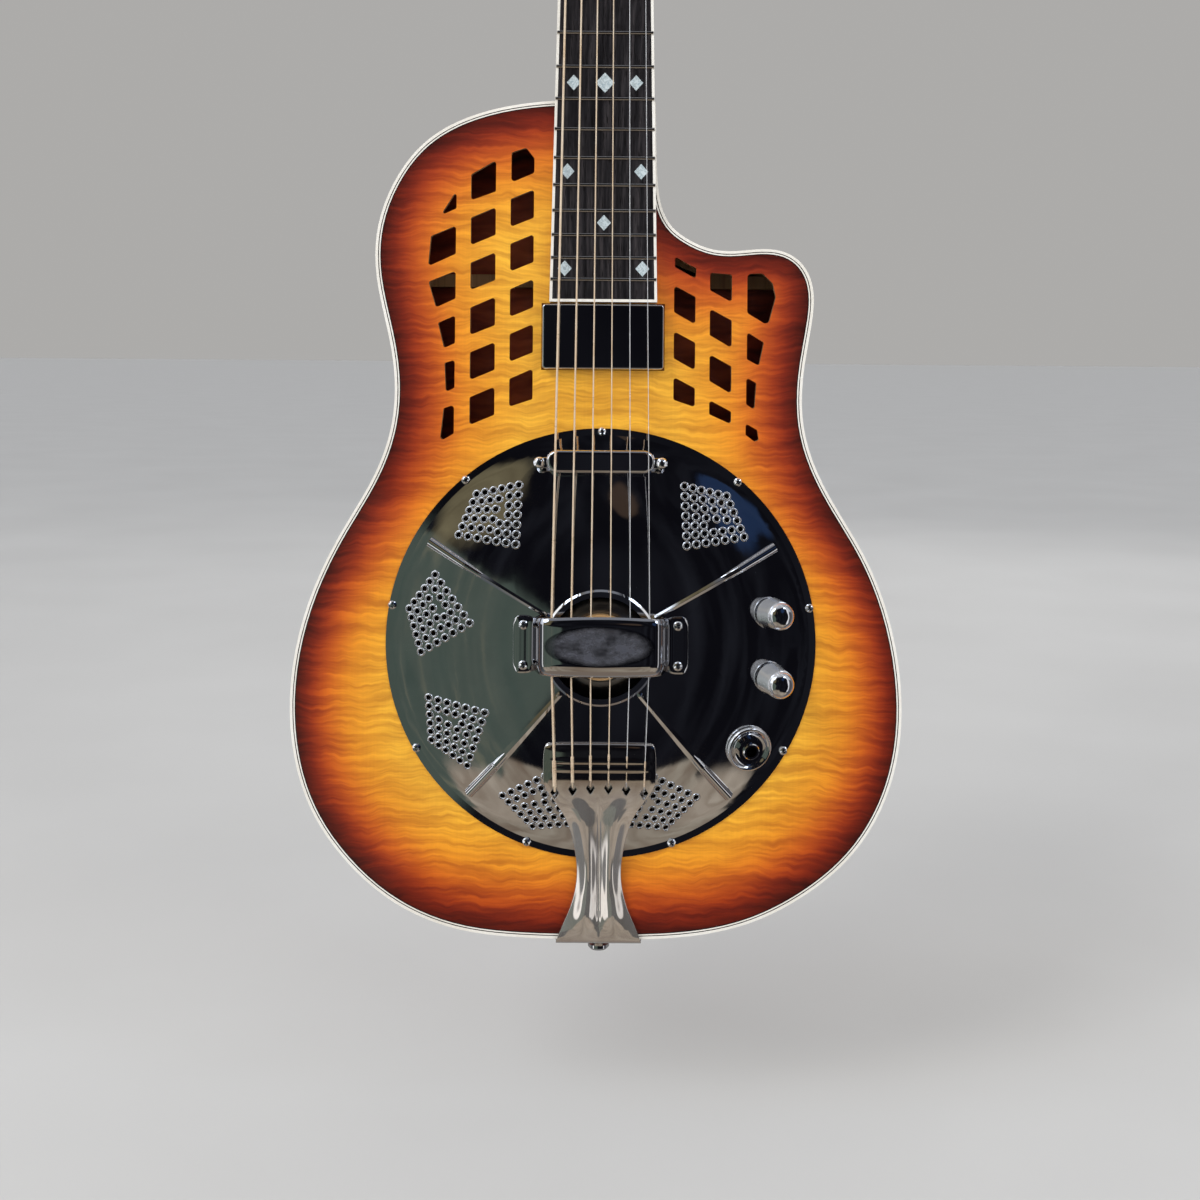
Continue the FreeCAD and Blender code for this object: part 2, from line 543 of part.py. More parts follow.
lower = [(z + (0.9 if z < -90 else 0.0), h - ts) for z, h in ridge[1:-2]] + [(-57.4, 15.3), (-55.4, 15.3)]
tail_side = [(0, z, h) for z, h in ridge] + [(0, z, h) for z, h in reversed(lower)]
tail_side = tail_side + [(0, -174.5, 0.6), (0, -174.5, -24), (0, -176.5, -24)]
tail_band = extrude("tail_band", polygon("tail_profile", [(-40, z, h) for x, z, h in tail_side]),
                    (1, 0, 0), 80, FRONT)
tail_sheet_part = common("tail_sheet_part", tail_prism, tail_band)
flutes = []
for sx in (-1, 1):
    a, b, c = (sx * 8.5, -92, 13.6), (sx * 6.0, -118, 7.0), (sx * 6.2, -150, 2.6)
    for tag, p, q, rp, rq in (("up", a, b, 1.6, 3.2), ("low", b, c, 3.2, 4.6)):
        d = V(*q) - V(*p)
        flutes.append(cone("flute_%s_%d" % (tag, sx + 1), rp, rq, d.Length, p, (d.x, d.y, d.z), FRONT))
    flutes.append(ball("flute_knee_%d" % (sx + 1), 3.2, b, FRONT))
    flutes.append(ball("flute_end_%d" % (sx + 1), 4.9, (sx * 5.6, -153, 2.0), FRONT))
flute_room = extrude("flute_room", polygon("flute_profile", [(-40, z, h - 0.5) for z, h in ridge[1:-2]] +
                                           [(-40, -62, 30), (-40, -172, 30)]), (1, 0, 0), 80, FRONT)
flute_set = common("flute_set", group("flute_blanks", flutes), flute_room)
tail_tab = span("tail_tab", -12, 12, -176.5, -174.5, -50, -23, FRONT)
TAIL_HOLES = [(-25.8, -81.6), (-15.5, -79.4), (-5.2, -78.5), (5.2, -78.3), (15.5, -79.2), (25.8, -81.8)]
tail_slots = [span("tail_slot_%d" % i, x - 1.3, x + 1.3, z - 4.5, z + 1.5, 8, 24, FRONT) for i,
              (x, z) in enumerate(TAIL_HOLES)]
tail_slots.append(span("tail_wing_0", -27.5, -18.5, -89.6, -87.8, 8, 24, FRONT))
tail_slots.append(span("tail_wing_1", 18.5, 27.5, -89.6, -87.8, 8, 24, FRONT))
tail_slots.append(cyl("tail_button_hole", 3.0, 8, (0, -172, -38), (0, -1, 0), frame=FRONT))
node(cut("tail_solid", fuse("tail_blank", [tail_sheet_part, flute_set, tail_tab]),
         group("tail_slot_set", tail_slots)),
     "tailpiece")
BUTTON = Pl(V(0, TOP + 38, -176.5), Rot(V(1, 0, 0), 180))
button = doc.addObject("PartDesign::Body", "strap_button_body")
button_sketch = doc.addObject("Sketcher::SketchObject", "strap_button_sketch")
button.addObject(button_sketch)
half_button = [(0.0, -14.0), (2.2, -14.0), (2.2, 0.0), (6.2, 0.0), (6.2, 1.5), (3.9, 4.0), (3.7, 11.0),
               (5.6, 12.8), (6.5, 13.8),
               (6.5, 15.6), (5.2, 17.0), (0.0, 17.0)]
for p, q in zip(half_button, half_button[1:] + half_button[:1]):
    line(button_sketch, p, q)
button_turn = doc.addObject("PartDesign::Revolution", "strap_button_turn")
button.addObject(button_turn)
button_turn.Profile = button_sketch
button_turn.ReferenceAxis = (button_sketch, ["V_Axis"])
button_turn.Angle = 360
button.Tip = button_turn
button.Placement = BUTTON.multiply(Pl(V(), Rot(V(1, 0, 0), 90)))
node(button, "strap_button")

# ---------------------------------------------------------------- neck
# Local frame: origin at the body joint on the top plane, Z up the tilted neck, Y into the wood.
NECK = Pl(V(0, TOP, 318.4), Rot(V(1, 0, 0), -S["neck_tilt"]))
tilt = math.radians(S["neck_tilt"])
NUT = (SADDLE_Z + S["scale_length"] - 318.4) / math.cos(tilt)
BT = S["board_thickness"]


def half_width(z):
    return 0.5 * (S["board_width_nut"] + S["board_taper"] * (NUT - z))


def fret_z(n):
    return NUT - S["scale_length"] * (1 - 2 ** (-n / 12.0))


BOARD_END = NUT - 436.2


def board_plan(name, margin, end):
    pts = [(-half_width(NUT) + margin, NUT), (half_width(NUT) - margin, NUT),
           (half_width(BOARD_END) - margin, end), (-half_width(BOARD_END) + margin, end)]
    return extrude(name, polygon(name + "_plan", [(x, -20, z) for x, z in pts]), (0, 1, 0), 40)


board_side = [(0, 0, NUT), (0, -BT, NUT), (0, -BT, BOARD_END), (0, -BOARD_END * math.tan(tilt), BOARD_END),
              (0, 0, 0)]
board_band = extrude("board_band", polygon("board_profile", [(-50, y, z) for x, y, z in board_side]),
                     (1, 0, 0), 100)
board_band_b = extrude("board_band_b", polygon("board_profile_b", [(-50, y, z) for x, y, z in board_side]),
                       (1, 0, 0), 100)
full_board = common("full_board", board_band, board_plan("board_full", 0.0, BOARD_END))
core_board = common("core_board", board_band_b, board_plan("board_core", 1.6, BOARD_END + 1.6))
core_copy = common("core_copy", extrude("board_band_c", polygon("board_profile_c",
                                                                [(-50, y, z) for x, y, z in board_side]),
                                        (1, 0, 0), 100), board_plan("board_core_c", 1.6, BOARD_END + 1.6))


def gap_z(n):
    return 0.5 * (fret_z(n - 1) + fret_z(n))


def inlay_spots():
    spots = []
    for n, kind in ((3, 1), (5, 2), (7, 1), (9, 2), (12, 3), (15, 2), (17, 1), (19, 2)):
        wide = 18.2 if n == 12 else (21.5 if n > 12 else 17.5)
        if kind in (1, 3):
            spots.append((0.0, gap_z(n), 5.6 if n == 12 else 4.1, 5.9 if n == 12 else 4.6))
        if kind in (2, 3):
            w = wide if n != 19 else 22.6
            spots.append((-w, gap_z(n), 4.1, 4.6))
            spots.append((w, gap_z(n), 4.1, 4.6))
    return spots


def diamonds(tag, lift):
    out = []
    for i, (x, z, a, b) in enumerate(inlay_spots()):
        p = polygon("%s_diamond_%d" % (tag, i), [(x - a, -BT - lift, z), (x, -BT - lift, z + b),
                                                 (x + a, -BT - lift, z),
                                                  (x, -BT - lift, z - b)])
        out.append(extrude("%s_inlay_%d" % (tag, i), p, (0, 1, 0), 0.9 + lift))
    return out


node(cut("board_solid", core_board, group("inlay_pockets", diamonds("pocket", 0.5)), NECK), "fingerboard")
node(cut("board_edge", full_board, core_copy, NECK), "fingerboard_binding")
node(group("inlay_set", diamonds("pearl", 0.03), NECK), "inlays")
along = Rot(V(0, 0, 1), V(0, -1, 0), V(1, 0, 0), "ZXY")
frets = []
for n in range(1, 20):
    w = half_width(fret_z(n)) - 0.3
    f = cyl("fret_%d" % n, S["fret_crown"], 2 * w, (0, 0, 0), angle=180, exprs={"Radius": "$fret_crown"})
    f.Placement = Pl(V(-w, -BT, fret_z(n)), along)
    frets.append(f)
node(group("fret_set", frets, NECK), "frets")
node(box("nut_bar", 45.8, 7.9, 5.0, (-22.9, -7.9, NUT), NECK,
         {"Width": "$nut_height", "Height": "$nut_length"}), "nut")

HEAD = NECK.multiply(Pl(V(0, 0, NUT + S["nut_length"]), Rot(V(1, 0, 0), -S["head_tilt"])))


def arch_wire(name, w, d, frame, power=2.3):
    """Flat-backed rounded section: x across, y deep."""
    sk = doc.addObject("Sketcher::SketchObject", name)
    sk.Placement = frame
    pts = []
    for i in range(13):
        a = math.pi * i / 12.0
        c, s = math.cos(a), math.sin(a)
        pts.append((math.copysign(abs(c) ** (2 / power), c) * w, abs(s) ** (2 / power) * d))
    pts[0], pts[-1] = (w, 0), (-w, 0)
    spline(sk, pts)
    line(sk, pts[-1], pts[0])
    return sk


def loft(name, sections, ruled=False):
    o = doc.addObject("Part::Loft", name)
    o.Sections = sections
    o.Solid = True
    o.Ruled = ruled
    return o


shaft = loft("neck_shaft", [arch_wire("shaft_a", half_width(NUT + 14), 15.0,
                                      NECK.multiply(Pl(V(0, 0, NUT + 14), Rot()))),
                            arch_wire("shaft_b", half_width(-10), 18.5,
                                      NECK.multiply(Pl(V(0, 0, -10), Rot())))], True)
LIE = Rot(V(1, 0, 0), 90)
heel = loft("neck_heel", [arch_wire("heel_%d" % i, w, d, Pl(V(0, y, 318.4), LIE), 2.1) for i,
                          (y, w, d) in enumerate(
    ((-75.0, 28.6, 52.0), (-66.0, 27.6, 36.0), (-52.0, 24.4, 22.0), (-34.0, 20.4, 15.0),
     (-16.0, 16.8, 11.5), (-8.0, 15.0, 10.0)))])
head_plan = doc.addObject("Sketcher::SketchObject", "head_plan")
head_plan.Placement = Pl(V(), Rot(V(1, 0, 0), 90))
side_pts = [(22.9, 0), (23.6, 10), (29.5, 22), (36.5, 34), (38.2, 50), (37.4, 90), (38.6, 128),
            (41.6, 156), (40.2, 165)]
crest = [(40.2, 165), (28, 166.5), (14, 169), (0, 174)]
spline(head_plan, side_pts)
spline(head_plan, crest)
spline(head_plan, [(-x, z) for x, z in reversed(crest)])
spline(head_plan, [(-x, z) for x, z in reversed(side_pts)])
line(head_plan, (-22.9, 0), (22.9, 0))
head_slab = extrude("head_slab", head_plan, (0, 1, 0), 14.0, HEAD, {"LengthFwd": "$head_thickness"})
head_plan_b = doc.addObject("Sketcher::SketchObject", "head_plan_b")
head_plan_b.Placement = head_plan.Placement
for geo in head_plan.Geometry:
    head_plan_b.addGeometry(geo, False)
volute = doc.addObject("Part::Ellipsoid", "volute")
volute.Radius1, volute.Radius2, volute.Radius3 = 7.5, 19.0, 22.0
volute.Angle1, volute.Angle2, volute.Angle3 = -90, 90, 360
volute.Placement = HEAD.multiply(Pl(V(0, 10.5, -2), Rot(V(1, 0, 0), 90)))
neck_blank = fuse("neck_blank", [shaft, heel, head_slab, volute])
tuner_x = [24.5, 26.0, 27.5]
tuner_z = [40.0, 80.0, 120.0]


def tuner_frame(i):
    """Tuners 1 to 3 on the bass side and 4 to 6 on the treble side, nearest the nut first."""
    s, k = (-1, i - 1) if i <= 3 else (1, i - 4)
    return HEAD.multiply(Pl(V(s * tuner_x[k], S["head_thickness"], tuner_z[k]),
                            Rot(V(s, 0, 0), V(0, 0, s), V(0, -1, 0), "ZXY")))


TUNERS = {i: tuner_frame(i) for i in range(1, 7)}
trims = [span("trim_joint", -80, 80, TOP - 60, 40, 200, 318.4),
         span("trim_under_board", -80, 80, -60, 0, -40, NUT + 5, NECK),
         span("trim_head_front", -80, 80, -60, 0, 0, 200, HEAD),
         cyl("rod_channel", 3.1, 318, (0, 6.5, 4), frame=NECK)]
trims += [cyl("bushing_hole_%d" % i, 4.6, 14.5, (0, 0, -0.2), frame=fr) for i, fr in TUNERS.items()]
node(cut("neck_solid", neck_blank, group("neck_trims", trims)), "neck")
veneer_blank = extrude("veneer_blank", head_plan_b, (0, -1, 0), 2.0, HEAD,
                       {"LengthFwd": "$veneer_thickness"})
veneer_cuts = [cyl("veneer_hole_%d" % i, 4.6, 6, (0, 0, 12), frame=fr) for i, fr in TUNERS.items()]
node(cut("veneer_solid", veneer_blank, group("veneer_cuts", veneer_cuts)), "headstock_veneer")
node(cyl("rod_bar", 3.0, 316, (0, 6.5, 5), frame=NECK), "truss_rod")
COVER_AT = HEAD.multiply(Pl(V(0, -2, 0), Rot(V(1, 0, 0), 90)))
cover_sk = doc.addObject("Sketcher::SketchObject", "rod_cover_plan")
cover_sk.Placement = COVER_AT
rounded(cover_sk, [(-11, 3), (11, 3), (9.5, 20), (3.5, 34), (-3.5, 34), (-9.5, 20)], 3.0)
plate = doc.addObject("Part::Extrusion", "rod_cover_plate")
plate.Base, plate.DirMode, plate.LengthFwd, plate.Solid = cover_sk, "Normal", 1.8, True
COVER_SCREWS = [(0, 29.5, 1.8), (-7.0, 7.0, 1.8), (7.0, 7.0, 1.8)]
cover_bores = [cyl("rod_cover_bore_%d" % i, 0.9, 6, (x, z, -2), frame=COVER_AT) for i,
               (x, z, h) in enumerate(COVER_SCREWS)]
node(cut("rod_cover_solid", plate, group("rod_cover_bores", cover_bores)), "truss_rod_cover")
head_screws = [round_screw("rod_cover_screw_%d" % i, 1.7, 0.9, 8, p, COVER_AT) for i,
               p in enumerate(COVER_SCREWS)]

# ---------------------------------------------------------------- tuners
# Tuner frame: X out to the button, Z forwards along the post, origin on the headstock's back face.
WC, WP = S["worm_centres"], S["worm_pitch"]
WORM_W = -6.0
housings, bushings = [], []
for i, fr in TUNERS.items():
    shell = fuse("housing_shell_%d" % i, [span("housing_box_%d" % i, -8, 8, -8, 11, -12.5, 0, fr),
                                          span("housing_ear_%d" % i, -4, 4, -14.5, -8, -2.2, 0, fr),
                                          cyl("housing_neck_%d" % i, 3.4, 3.4, (7.9, WC, WORM_W),
                                              (1, 0, 0), fr)])
    room = [span("housing_room_%d" % i, -6.3, 6.3, -5.6, 9.6, -11, -1.4, fr),
            cyl("housing_bore_%d" % i, 3.05, 4, (0, 0, -2), frame=fr),
            cyl("housing_foot_%d" % i, 1.55, 1.2, (0, 0, -12.2), frame=fr),
            cyl("housing_side_%d" % i, 1.55, 8, (5, WC, WORM_W), (1, 0, 0), fr),
            cyl("housing_end_%d" % i, 1.55, 1.4, (-7.5, WC, WORM_W), (1, 0, 0), fr),
            cyl("housing_ear_bore_%d" % i, 0.9, 6, (0, -11.6, -4), frame=fr)]
    housings.append(cut("housing_%d" % i, shell, group("housing_rooms_%d" % i, room)))
    bushings.append(lathe("bushing_%d" % i, [(3.05, 3.0), (4.6, 3.0), (4.6, 16.0), (7.2, 16.0),
                                             (7.2, 16.7), (5.4, 17.4),
                                             (3.05, 17.4)], fr))
    back = fr.multiply(Pl(V(0, -11.6, -2.2), Rot(V(1, 0, 0), 180)))
    head_screws.append(round_screw("housing_screw_%d" % i, 1.7, 0.9, 9, (0, 0, 0), back))
node(group("housing_set", housings), "tuner_housings")
node(group("bushing_set", bushings), "tuner_bushings")
node(group("head_screw_set", head_screws), "headstock_screws")

for i, fr in TUNERS.items():
    teeth = []
    for k in range(14):
        a = 2 * math.pi * k / 14
        for r, w in ((3.35, -0.36), (4.6, -0.2), (4.6, 0.2), (3.35, 0.36)):
            teeth.append((r * math.sin(a) + w * math.cos(a), r * math.cos(a) - w * math.sin(a),
                          WORM_W - 1.8))
    wheel = extrude("wheel_%d" % i, polygon("wheel_rim_%d" % i, teeth), (0, 0, 1), 3.6, fr,
                    {"LengthFwd": "$wheel_width"})
    stem = lathe("post_stem_%d" % i, [(0.0, -12.1), (1.5, -12.1), (1.5, -8.0), (3.0, -8.0), (3.0, 26.0),
                                      (2.6, 28.0),
                                      (2.6, 31.5), (3.0, 33.0), (3.0, 35.4), (2.4, 36.0), (0.0, 36.0)], fr)
    eye = cyl("post_eye_%d" % i, 0.9, 10, (-5, 0, 29.5), (1, 0, 0), fr)
    node(cut("post_solid_%d" % i, fuse("post_blank_%d" % i, [wheel, stem]), eye), "tuner_%d_post" % i)
    start = WORM_W
    helix = doc.addObject("Part::Helix", "worm_helix_%d" % i)
    helix.Pitch, helix.Height, helix.Radius = WP, 5 * WP, 1.9
    rib = polygon("worm_rib_%d" % i, [(1.2, 0, -0.34), (2.4, 0, -0.18), (2.4, 0, 0.18), (1.2, 0, 0.34)])
    thread = doc.addObject("Part::Sweep", "worm_thread_%d" % i)
    thread.Sections, thread.Spine, thread.Solid, thread.Frenet = [rib], helix, True, True
    worm_at = fr.multiply(Pl(V(-2.5 * WP, WC, WORM_W), Rot(V(0, -1, 0), V(0, 0, -1), V(1, 0, 0), "ZXY")))
    core = cyl("worm_core_%d" % i, 1.4, 2 * 6.2, (0, 0, -6.2 + 2.5 * WP), exprs={"Radius": "$worm_root"})
    worm = fuse("worm_%d" % i, [core, thread], worm_at)
    ends = [cyl("worm_tail_%d" % i, 1.5, 1.3, (-7.4, WC, WORM_W), (1, 0, 0), fr),
            cyl("worm_shaft_%d" % i, 1.5, 13.5, (6.1, WC, WORM_W), (1, 0, 0), fr),
            cone("button_collar_%d" % i, 3.1, 2.6, 5.0, (16.2, WC, WORM_W), (1, 0, 0), fr)]
    knob = doc.addObject("Part::Ellipsoid", "button_%d" % i)
    knob.Radius1, knob.Radius2, knob.Radius3 = 5.4, 4.6, 8.4
    knob.Angle1, knob.Angle2, knob.Angle3 = -90, 90, 360
    knob.Placement = fr.multiply(Pl(V(24.6, WC, WORM_W), Rot()))
    node(fuse("button_solid_%d" % i, [worm, knob] + ends), "tuner_%d_button" % i)

# ---------------------------------------------------------------- strings
GAUGE = [0.66, 0.52, 0.42, 0.33, 0.22, 0.18]
SPREAD_NUT, SPREAD_SADDLE = 39.8, 56.8
strings = []
for i in range(6):
    r = GAUGE[i]
    lift = r + 0.02
    f = (i - 2.5) / 5.0
    tx, tz = TAIL_HOLES[i]
    k = (1, 2, 3, 6, 5, 4)[i]
    s = -1 if i < 3 else 1
    wrap = TUNERS[k].multVec(V(-(3.1 + r), 0, 29.5))
    pts = [FRONT.multVec(V(tx, tz - 1.2, 15.2)), FRONT.multVec(V(tx, tz + 2.6, 17.0 + lift)),
           FRONT.multVec(V(f * SPREAD_SADDLE, SADDLE_Z, S["saddle_height"] + lift)),
           NECK.multVec(V(f * SPREAD_NUT, -S["nut_height"] - lift, NUT + 2.5)), wrap]
    pieces = []
    for j in range(4):
        d = pts[j + 1] - pts[j]
        pieces.append(cyl("string_%d_run_%d" % (i, j), r, d.Length, (pts[j].x, pts[j].y, pts[j].z),
                          (d.x, d.y, d.z)))
        pieces.append(ball("string_%d_bend_%d" % (i, j), r * 1.06, (pts[j].x, pts[j].y, pts[j].z),
                           turn=Rot(V(1, 0, 0), 90)))
    strings.append(fuse("string_%d" % i, pieces))
node(group("wound_set", strings[:4]), "wound_strings")
node(group("plain_set", strings[4:]), "plain_strings")

# ---------------------------------------------------------------- checks and files
doc.recompute()
bad = []
for o in doc.Objects:
    if "Invalid" in o.State or "Error" in o.State:
        bad.append("%s: %s" % (o.Name, o.State))
for o in NODES:
    if o.Shape.isNull() or not o.Shape.isValid() or not o.Shape.Solids:
        bad.append("%s: bad shape" % o.Label)
if bad:
    raise RuntimeError("; ".join(bad))
for o in NODES:
    o.Shape.exportStep("parts/%s.step" % o.Label)
    b = o.Shape.BoundBox
    print("%-22s solids %2d  vol %10.1f  x %7.1f %7.1f  y %7.1f %7.1f  z %7.1f %7.1f" % (
        o.Label, len(o.Shape.Solids), o.Shape.Volume, b.XMin, b.XMax, b.YMin, b.YMax, b.ZMin, b.ZMax))
for tag, fr in list(CONTROLS.items()) + [("jack", JACK)] + [("tuner_%d" % i, f) for i, f in TUNERS.items()]:
    z, x = fr.Rotation.multVec(V(0, 0, 1)), fr.Rotation.multVec(V(1, 0, 0))
    worm_point = fr.multVec(V(0, WC, WORM_W))
    print(tag, [round(c, 4) for c in fr.Base], [round(c, 6) for c in z], [round(c, 6) for c in x],
          [round(c, 4) for c in worm_point])
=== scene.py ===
"""Resonator guitar: looks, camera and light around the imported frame."""
import json
import math

import bmesh
import bpy
from mathutils import Matrix, Vector
from mathutils.kdtree import KDTree


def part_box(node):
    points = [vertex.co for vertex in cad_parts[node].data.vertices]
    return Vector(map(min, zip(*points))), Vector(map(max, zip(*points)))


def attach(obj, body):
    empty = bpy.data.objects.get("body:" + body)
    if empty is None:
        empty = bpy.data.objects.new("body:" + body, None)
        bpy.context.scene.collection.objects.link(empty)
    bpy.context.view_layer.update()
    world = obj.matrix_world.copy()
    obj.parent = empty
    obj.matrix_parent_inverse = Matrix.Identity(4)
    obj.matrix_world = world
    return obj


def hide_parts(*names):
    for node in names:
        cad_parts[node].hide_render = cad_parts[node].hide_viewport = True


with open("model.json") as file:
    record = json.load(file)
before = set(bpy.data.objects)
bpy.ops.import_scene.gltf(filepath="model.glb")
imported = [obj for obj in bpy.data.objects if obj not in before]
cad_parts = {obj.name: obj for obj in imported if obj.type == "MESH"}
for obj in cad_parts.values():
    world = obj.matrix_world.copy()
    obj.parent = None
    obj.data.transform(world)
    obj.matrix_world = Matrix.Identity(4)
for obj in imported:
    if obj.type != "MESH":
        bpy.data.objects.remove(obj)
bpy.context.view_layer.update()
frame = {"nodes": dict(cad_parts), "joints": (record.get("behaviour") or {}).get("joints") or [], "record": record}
NODES = frame["nodes"]
RECORD = frame["record"]
JOINTS = {j["name"]: j for j in frame["joints"]}
SLOT = {row["node"]: row["material_slot"] for row in RECORD["subparts"]}
MATS = {}
scene = bpy.context.scene
MM = 0.001
TOP = -0.076            # Y of the top plate's outer face

# ------------------------------------------------------------------ camera
CAMERA_AT = (0.003, -0.989, 0.172)
CAMERA_ROLL = math.radians(-0.45)
LENS_MM = 46.6
LENS_SHIFT = (-0.0067, -0.208)

cam_data = bpy.data.cameras.new("camera")
cam_data.sensor_width = 36.0
cam_data.lens = LENS_MM
cam_data.shift_x, cam_data.shift_y = LENS_SHIFT
cam_data.clip_start, cam_data.clip_end = 0.01, 100
camera = bpy.data.objects.new("camera", cam_data)
camera.location = CAMERA_AT
camera.rotation_euler = (Matrix.Rotation(CAMERA_ROLL, 4, "Y")
                         @ Matrix.Rotation(math.radians(90), 4, "X")).to_euler()
scene.collection.objects.link(camera)
scene.camera = camera


# ------------------------------------------------------------------ node building
class Nodes:
    """Short calls for building one node tree."""

    def __init__(self, tree):
        self.tree = tree
        self.coord = None

    def add(self, kind, **props):
        node = self.tree.nodes.new(kind)
        for key, value in props.items():
            setattr(node, key, value)
        return node

    def put(self, socket, value):
        """Links a socket, or sets its value: one number fills it, and a colour gains its alpha."""
        if isinstance(value, bpy.types.NodeSocket):
            self.tree.links.new(value, socket)
        elif hasattr(socket.default_value, "__len__") and not hasattr(value, "__len__"):
            socket.default_value = [value] * len(socket.default_value)
        elif hasattr(value, "__len__") and len(value) == 3 and len(socket.default_value) == 4:
            socket.default_value = (*value, 1.0)
        else:
            socket.default_value = value

    def filled(self, kind, values, **props):
        """A node with its first inputs filled in order."""
        node = self.add(kind, **props)
        for socket, value in zip(node.inputs, values):
            self.put(socket, value)
        return node

    def place(self, scale=(1, 1, 1)):
        """Object coordinates in metres, scaled."""
        if self.coord is None:
            self.coord = self.add("ShaderNodeTexCoord").outputs["Object"]
        node = self.add("ShaderNodeMapping")
        self.put(node.inputs["Vector"], self.coord)
        node.inputs["Scale"].default_value = scale
        return node.outputs["Vector"]

    def noise(self, vector, scale=1.0, detail=2.0, rough=0.5, distort=0.0):
        node = self.add("ShaderNodeTexNoise")
        for key, value in (("Vector", vector), ("Scale", scale), ("Detail", detail), ("Roughness", rough),
                           ("Distortion", distort)):
            self.put(node.inputs[key], value)
        return node.outputs["Fac"]

    def math(self, op, a, b=0.0, c=0.0):
        return self.filled("ShaderNodeMath", (a, b, c), operation=op).outputs[0]

    def length(self, vector):
        return self.filled("ShaderNodeVectorMath", (vector,), operation="LENGTH").outputs["Value"]

    def split(self, vector):
        return self.filled("ShaderNodeSeparateXYZ", (vector,)).outputs

    def join(self, x, y, z):
        return self.filled("ShaderNodeCombineXYZ", (x, y, z)).outputs[0]

    def stretch(self, *parts):
        """A vector from three parts, each a value or a (value, scale) pair."""
        return self.join(*(self.math("MULTIPLY", *p) if isinstance(p, tuple) else p for p in parts))

    def swing(self, value, amount):
        """A 0 to 1 value turned into a push of up to half the amount each way."""
        return self.math("MULTIPLY", self.math("SUBTRACT", value, 0.5), amount)

    def blend(self, a, b, share):
        """A share of one value and the rest of another."""
        return self.math("ADD", self.math("MULTIPLY", a, share), self.math("MULTIPLY", b, 1 - share))

    def squares(self, a, b):
        return self.math("ADD", self.math("MULTIPLY", a, a), self.math("MULTIPLY", b, b))

    def span(self, value, a, b, c=0.0, d=1.0, smooth=False):
        """Maps a..b to c..d, and holds the ends."""
        kind = "SMOOTHSTEP" if smooth else "LINEAR"
        return self.filled("ShaderNodeMapRange", (value, a, b, c, d), interpolation_type=kind).outputs[0]

    def ramp(self, fac, stops):
        node = self.filled("ShaderNodeValToRGB", (fac,))
        elements = node.color_ramp.elements
        while len(elements) < len(stops):
            elements.new(0.5)
        for element, (at, color) in zip(elements, stops):
            element.position = at
            element.color = (*color, 1.0)
        return node.outputs["Color"]

    def mix(self, fac, a, b, kind="MIX"):
        node = self.add("ShaderNodeMix", data_type="RGBA", blend_type=kind)
        for index, value in ((0, fac), (6, a), (7, b)):
            self.put(node.inputs[index], value)
        return node.outputs[2]

    def bump(self, height, strength, distance):
        node = self.add("ShaderNodeBump")
        for key, value in (("Height", height), ("Strength", strength), ("Distance", distance)):
            self.put(node.inputs[key], value)
        return node.outputs["Normal"]


def material(name, **values):
    """Adds a material to MATS, with constant inputs set, and gives its node helper."""
    MATS[name] = bpy.data.materials.new(name)
    MATS[name].use_nodes = True
    n = Nodes(MATS[name].node_tree)
    n.shader = MATS[name].node_tree.nodes["Principled BSDF"]
    for key, value in values.items():
        n.put(n.shader.inputs[key.replace("_", " ")], value)
    return n


def finish_with(n, color=None, rough=None, normal=None, metal=None, coat_normal=None):
    for key, value in (("Base Color", color), ("Roughness", rough), ("Normal", normal), ("Metallic", metal),
                       ("Coat Normal", coat_normal)):
        if value is not None:
            n.put(n.shader.inputs[key], value)


def srgb(*levels):
    """Linear colour from 0 to 255 levels."""
    parts = [c / 255 for c in levels]
    return tuple(c / 12.92 if c <= 0.04045 else ((c + 0.055) / 1.055) ** 2.4 for c in parts)


# ------------------------------------------------------------------ materials: wood
LACQUER = {"Coat_Weight": 1.0, "Coat_IOR": 1.5, "Specular_IOR_Level": 0.3}


def flame(n, across, along, seed, pitch):
    """Curly figure: 0 to 1, in wavy bands that cross the grain, with the two coordinates it is drawn in."""
    parts = n.split(n.place())
    u, v = parts[across], parts[along]
    sway = n.noise(n.stretch((u, 11.0), (v, 7.0), seed), detail=1.5)
    drift = n.noise(n.stretch((u, 60.0), (v, 40.0), seed + 3), detail=2.0)
    wavy = n.math("ADD", n.math("ADD", v, n.swing(sway, 0.018)), n.swing(drift, 0.010))
    wide = n.noise(n.stretch((u, 21.0), (wavy, pitch), seed + 7), detail=3.0)
    fine = n.noise(n.stretch((u, 52.0), (wavy, pitch * 2.6), seed + 9), detail=3.0)
    return n.span(n.blend(wide, fine, 0.62), 0.36, 0.62), u, v


def toned(n, color, shade, green, blue):
    """A colour times a shade, which cuts green and blue by its powers."""
    shades = n.join(shade, n.math("POWER", shade, green), n.math("POWER", shade, blue))
    return n.mix(1.0, color, shades, "MULTIPLY")


def rim_distance(n):
    return n.add("ShaderNodeAttribute", attribute_name="rim").outputs["Fac"]


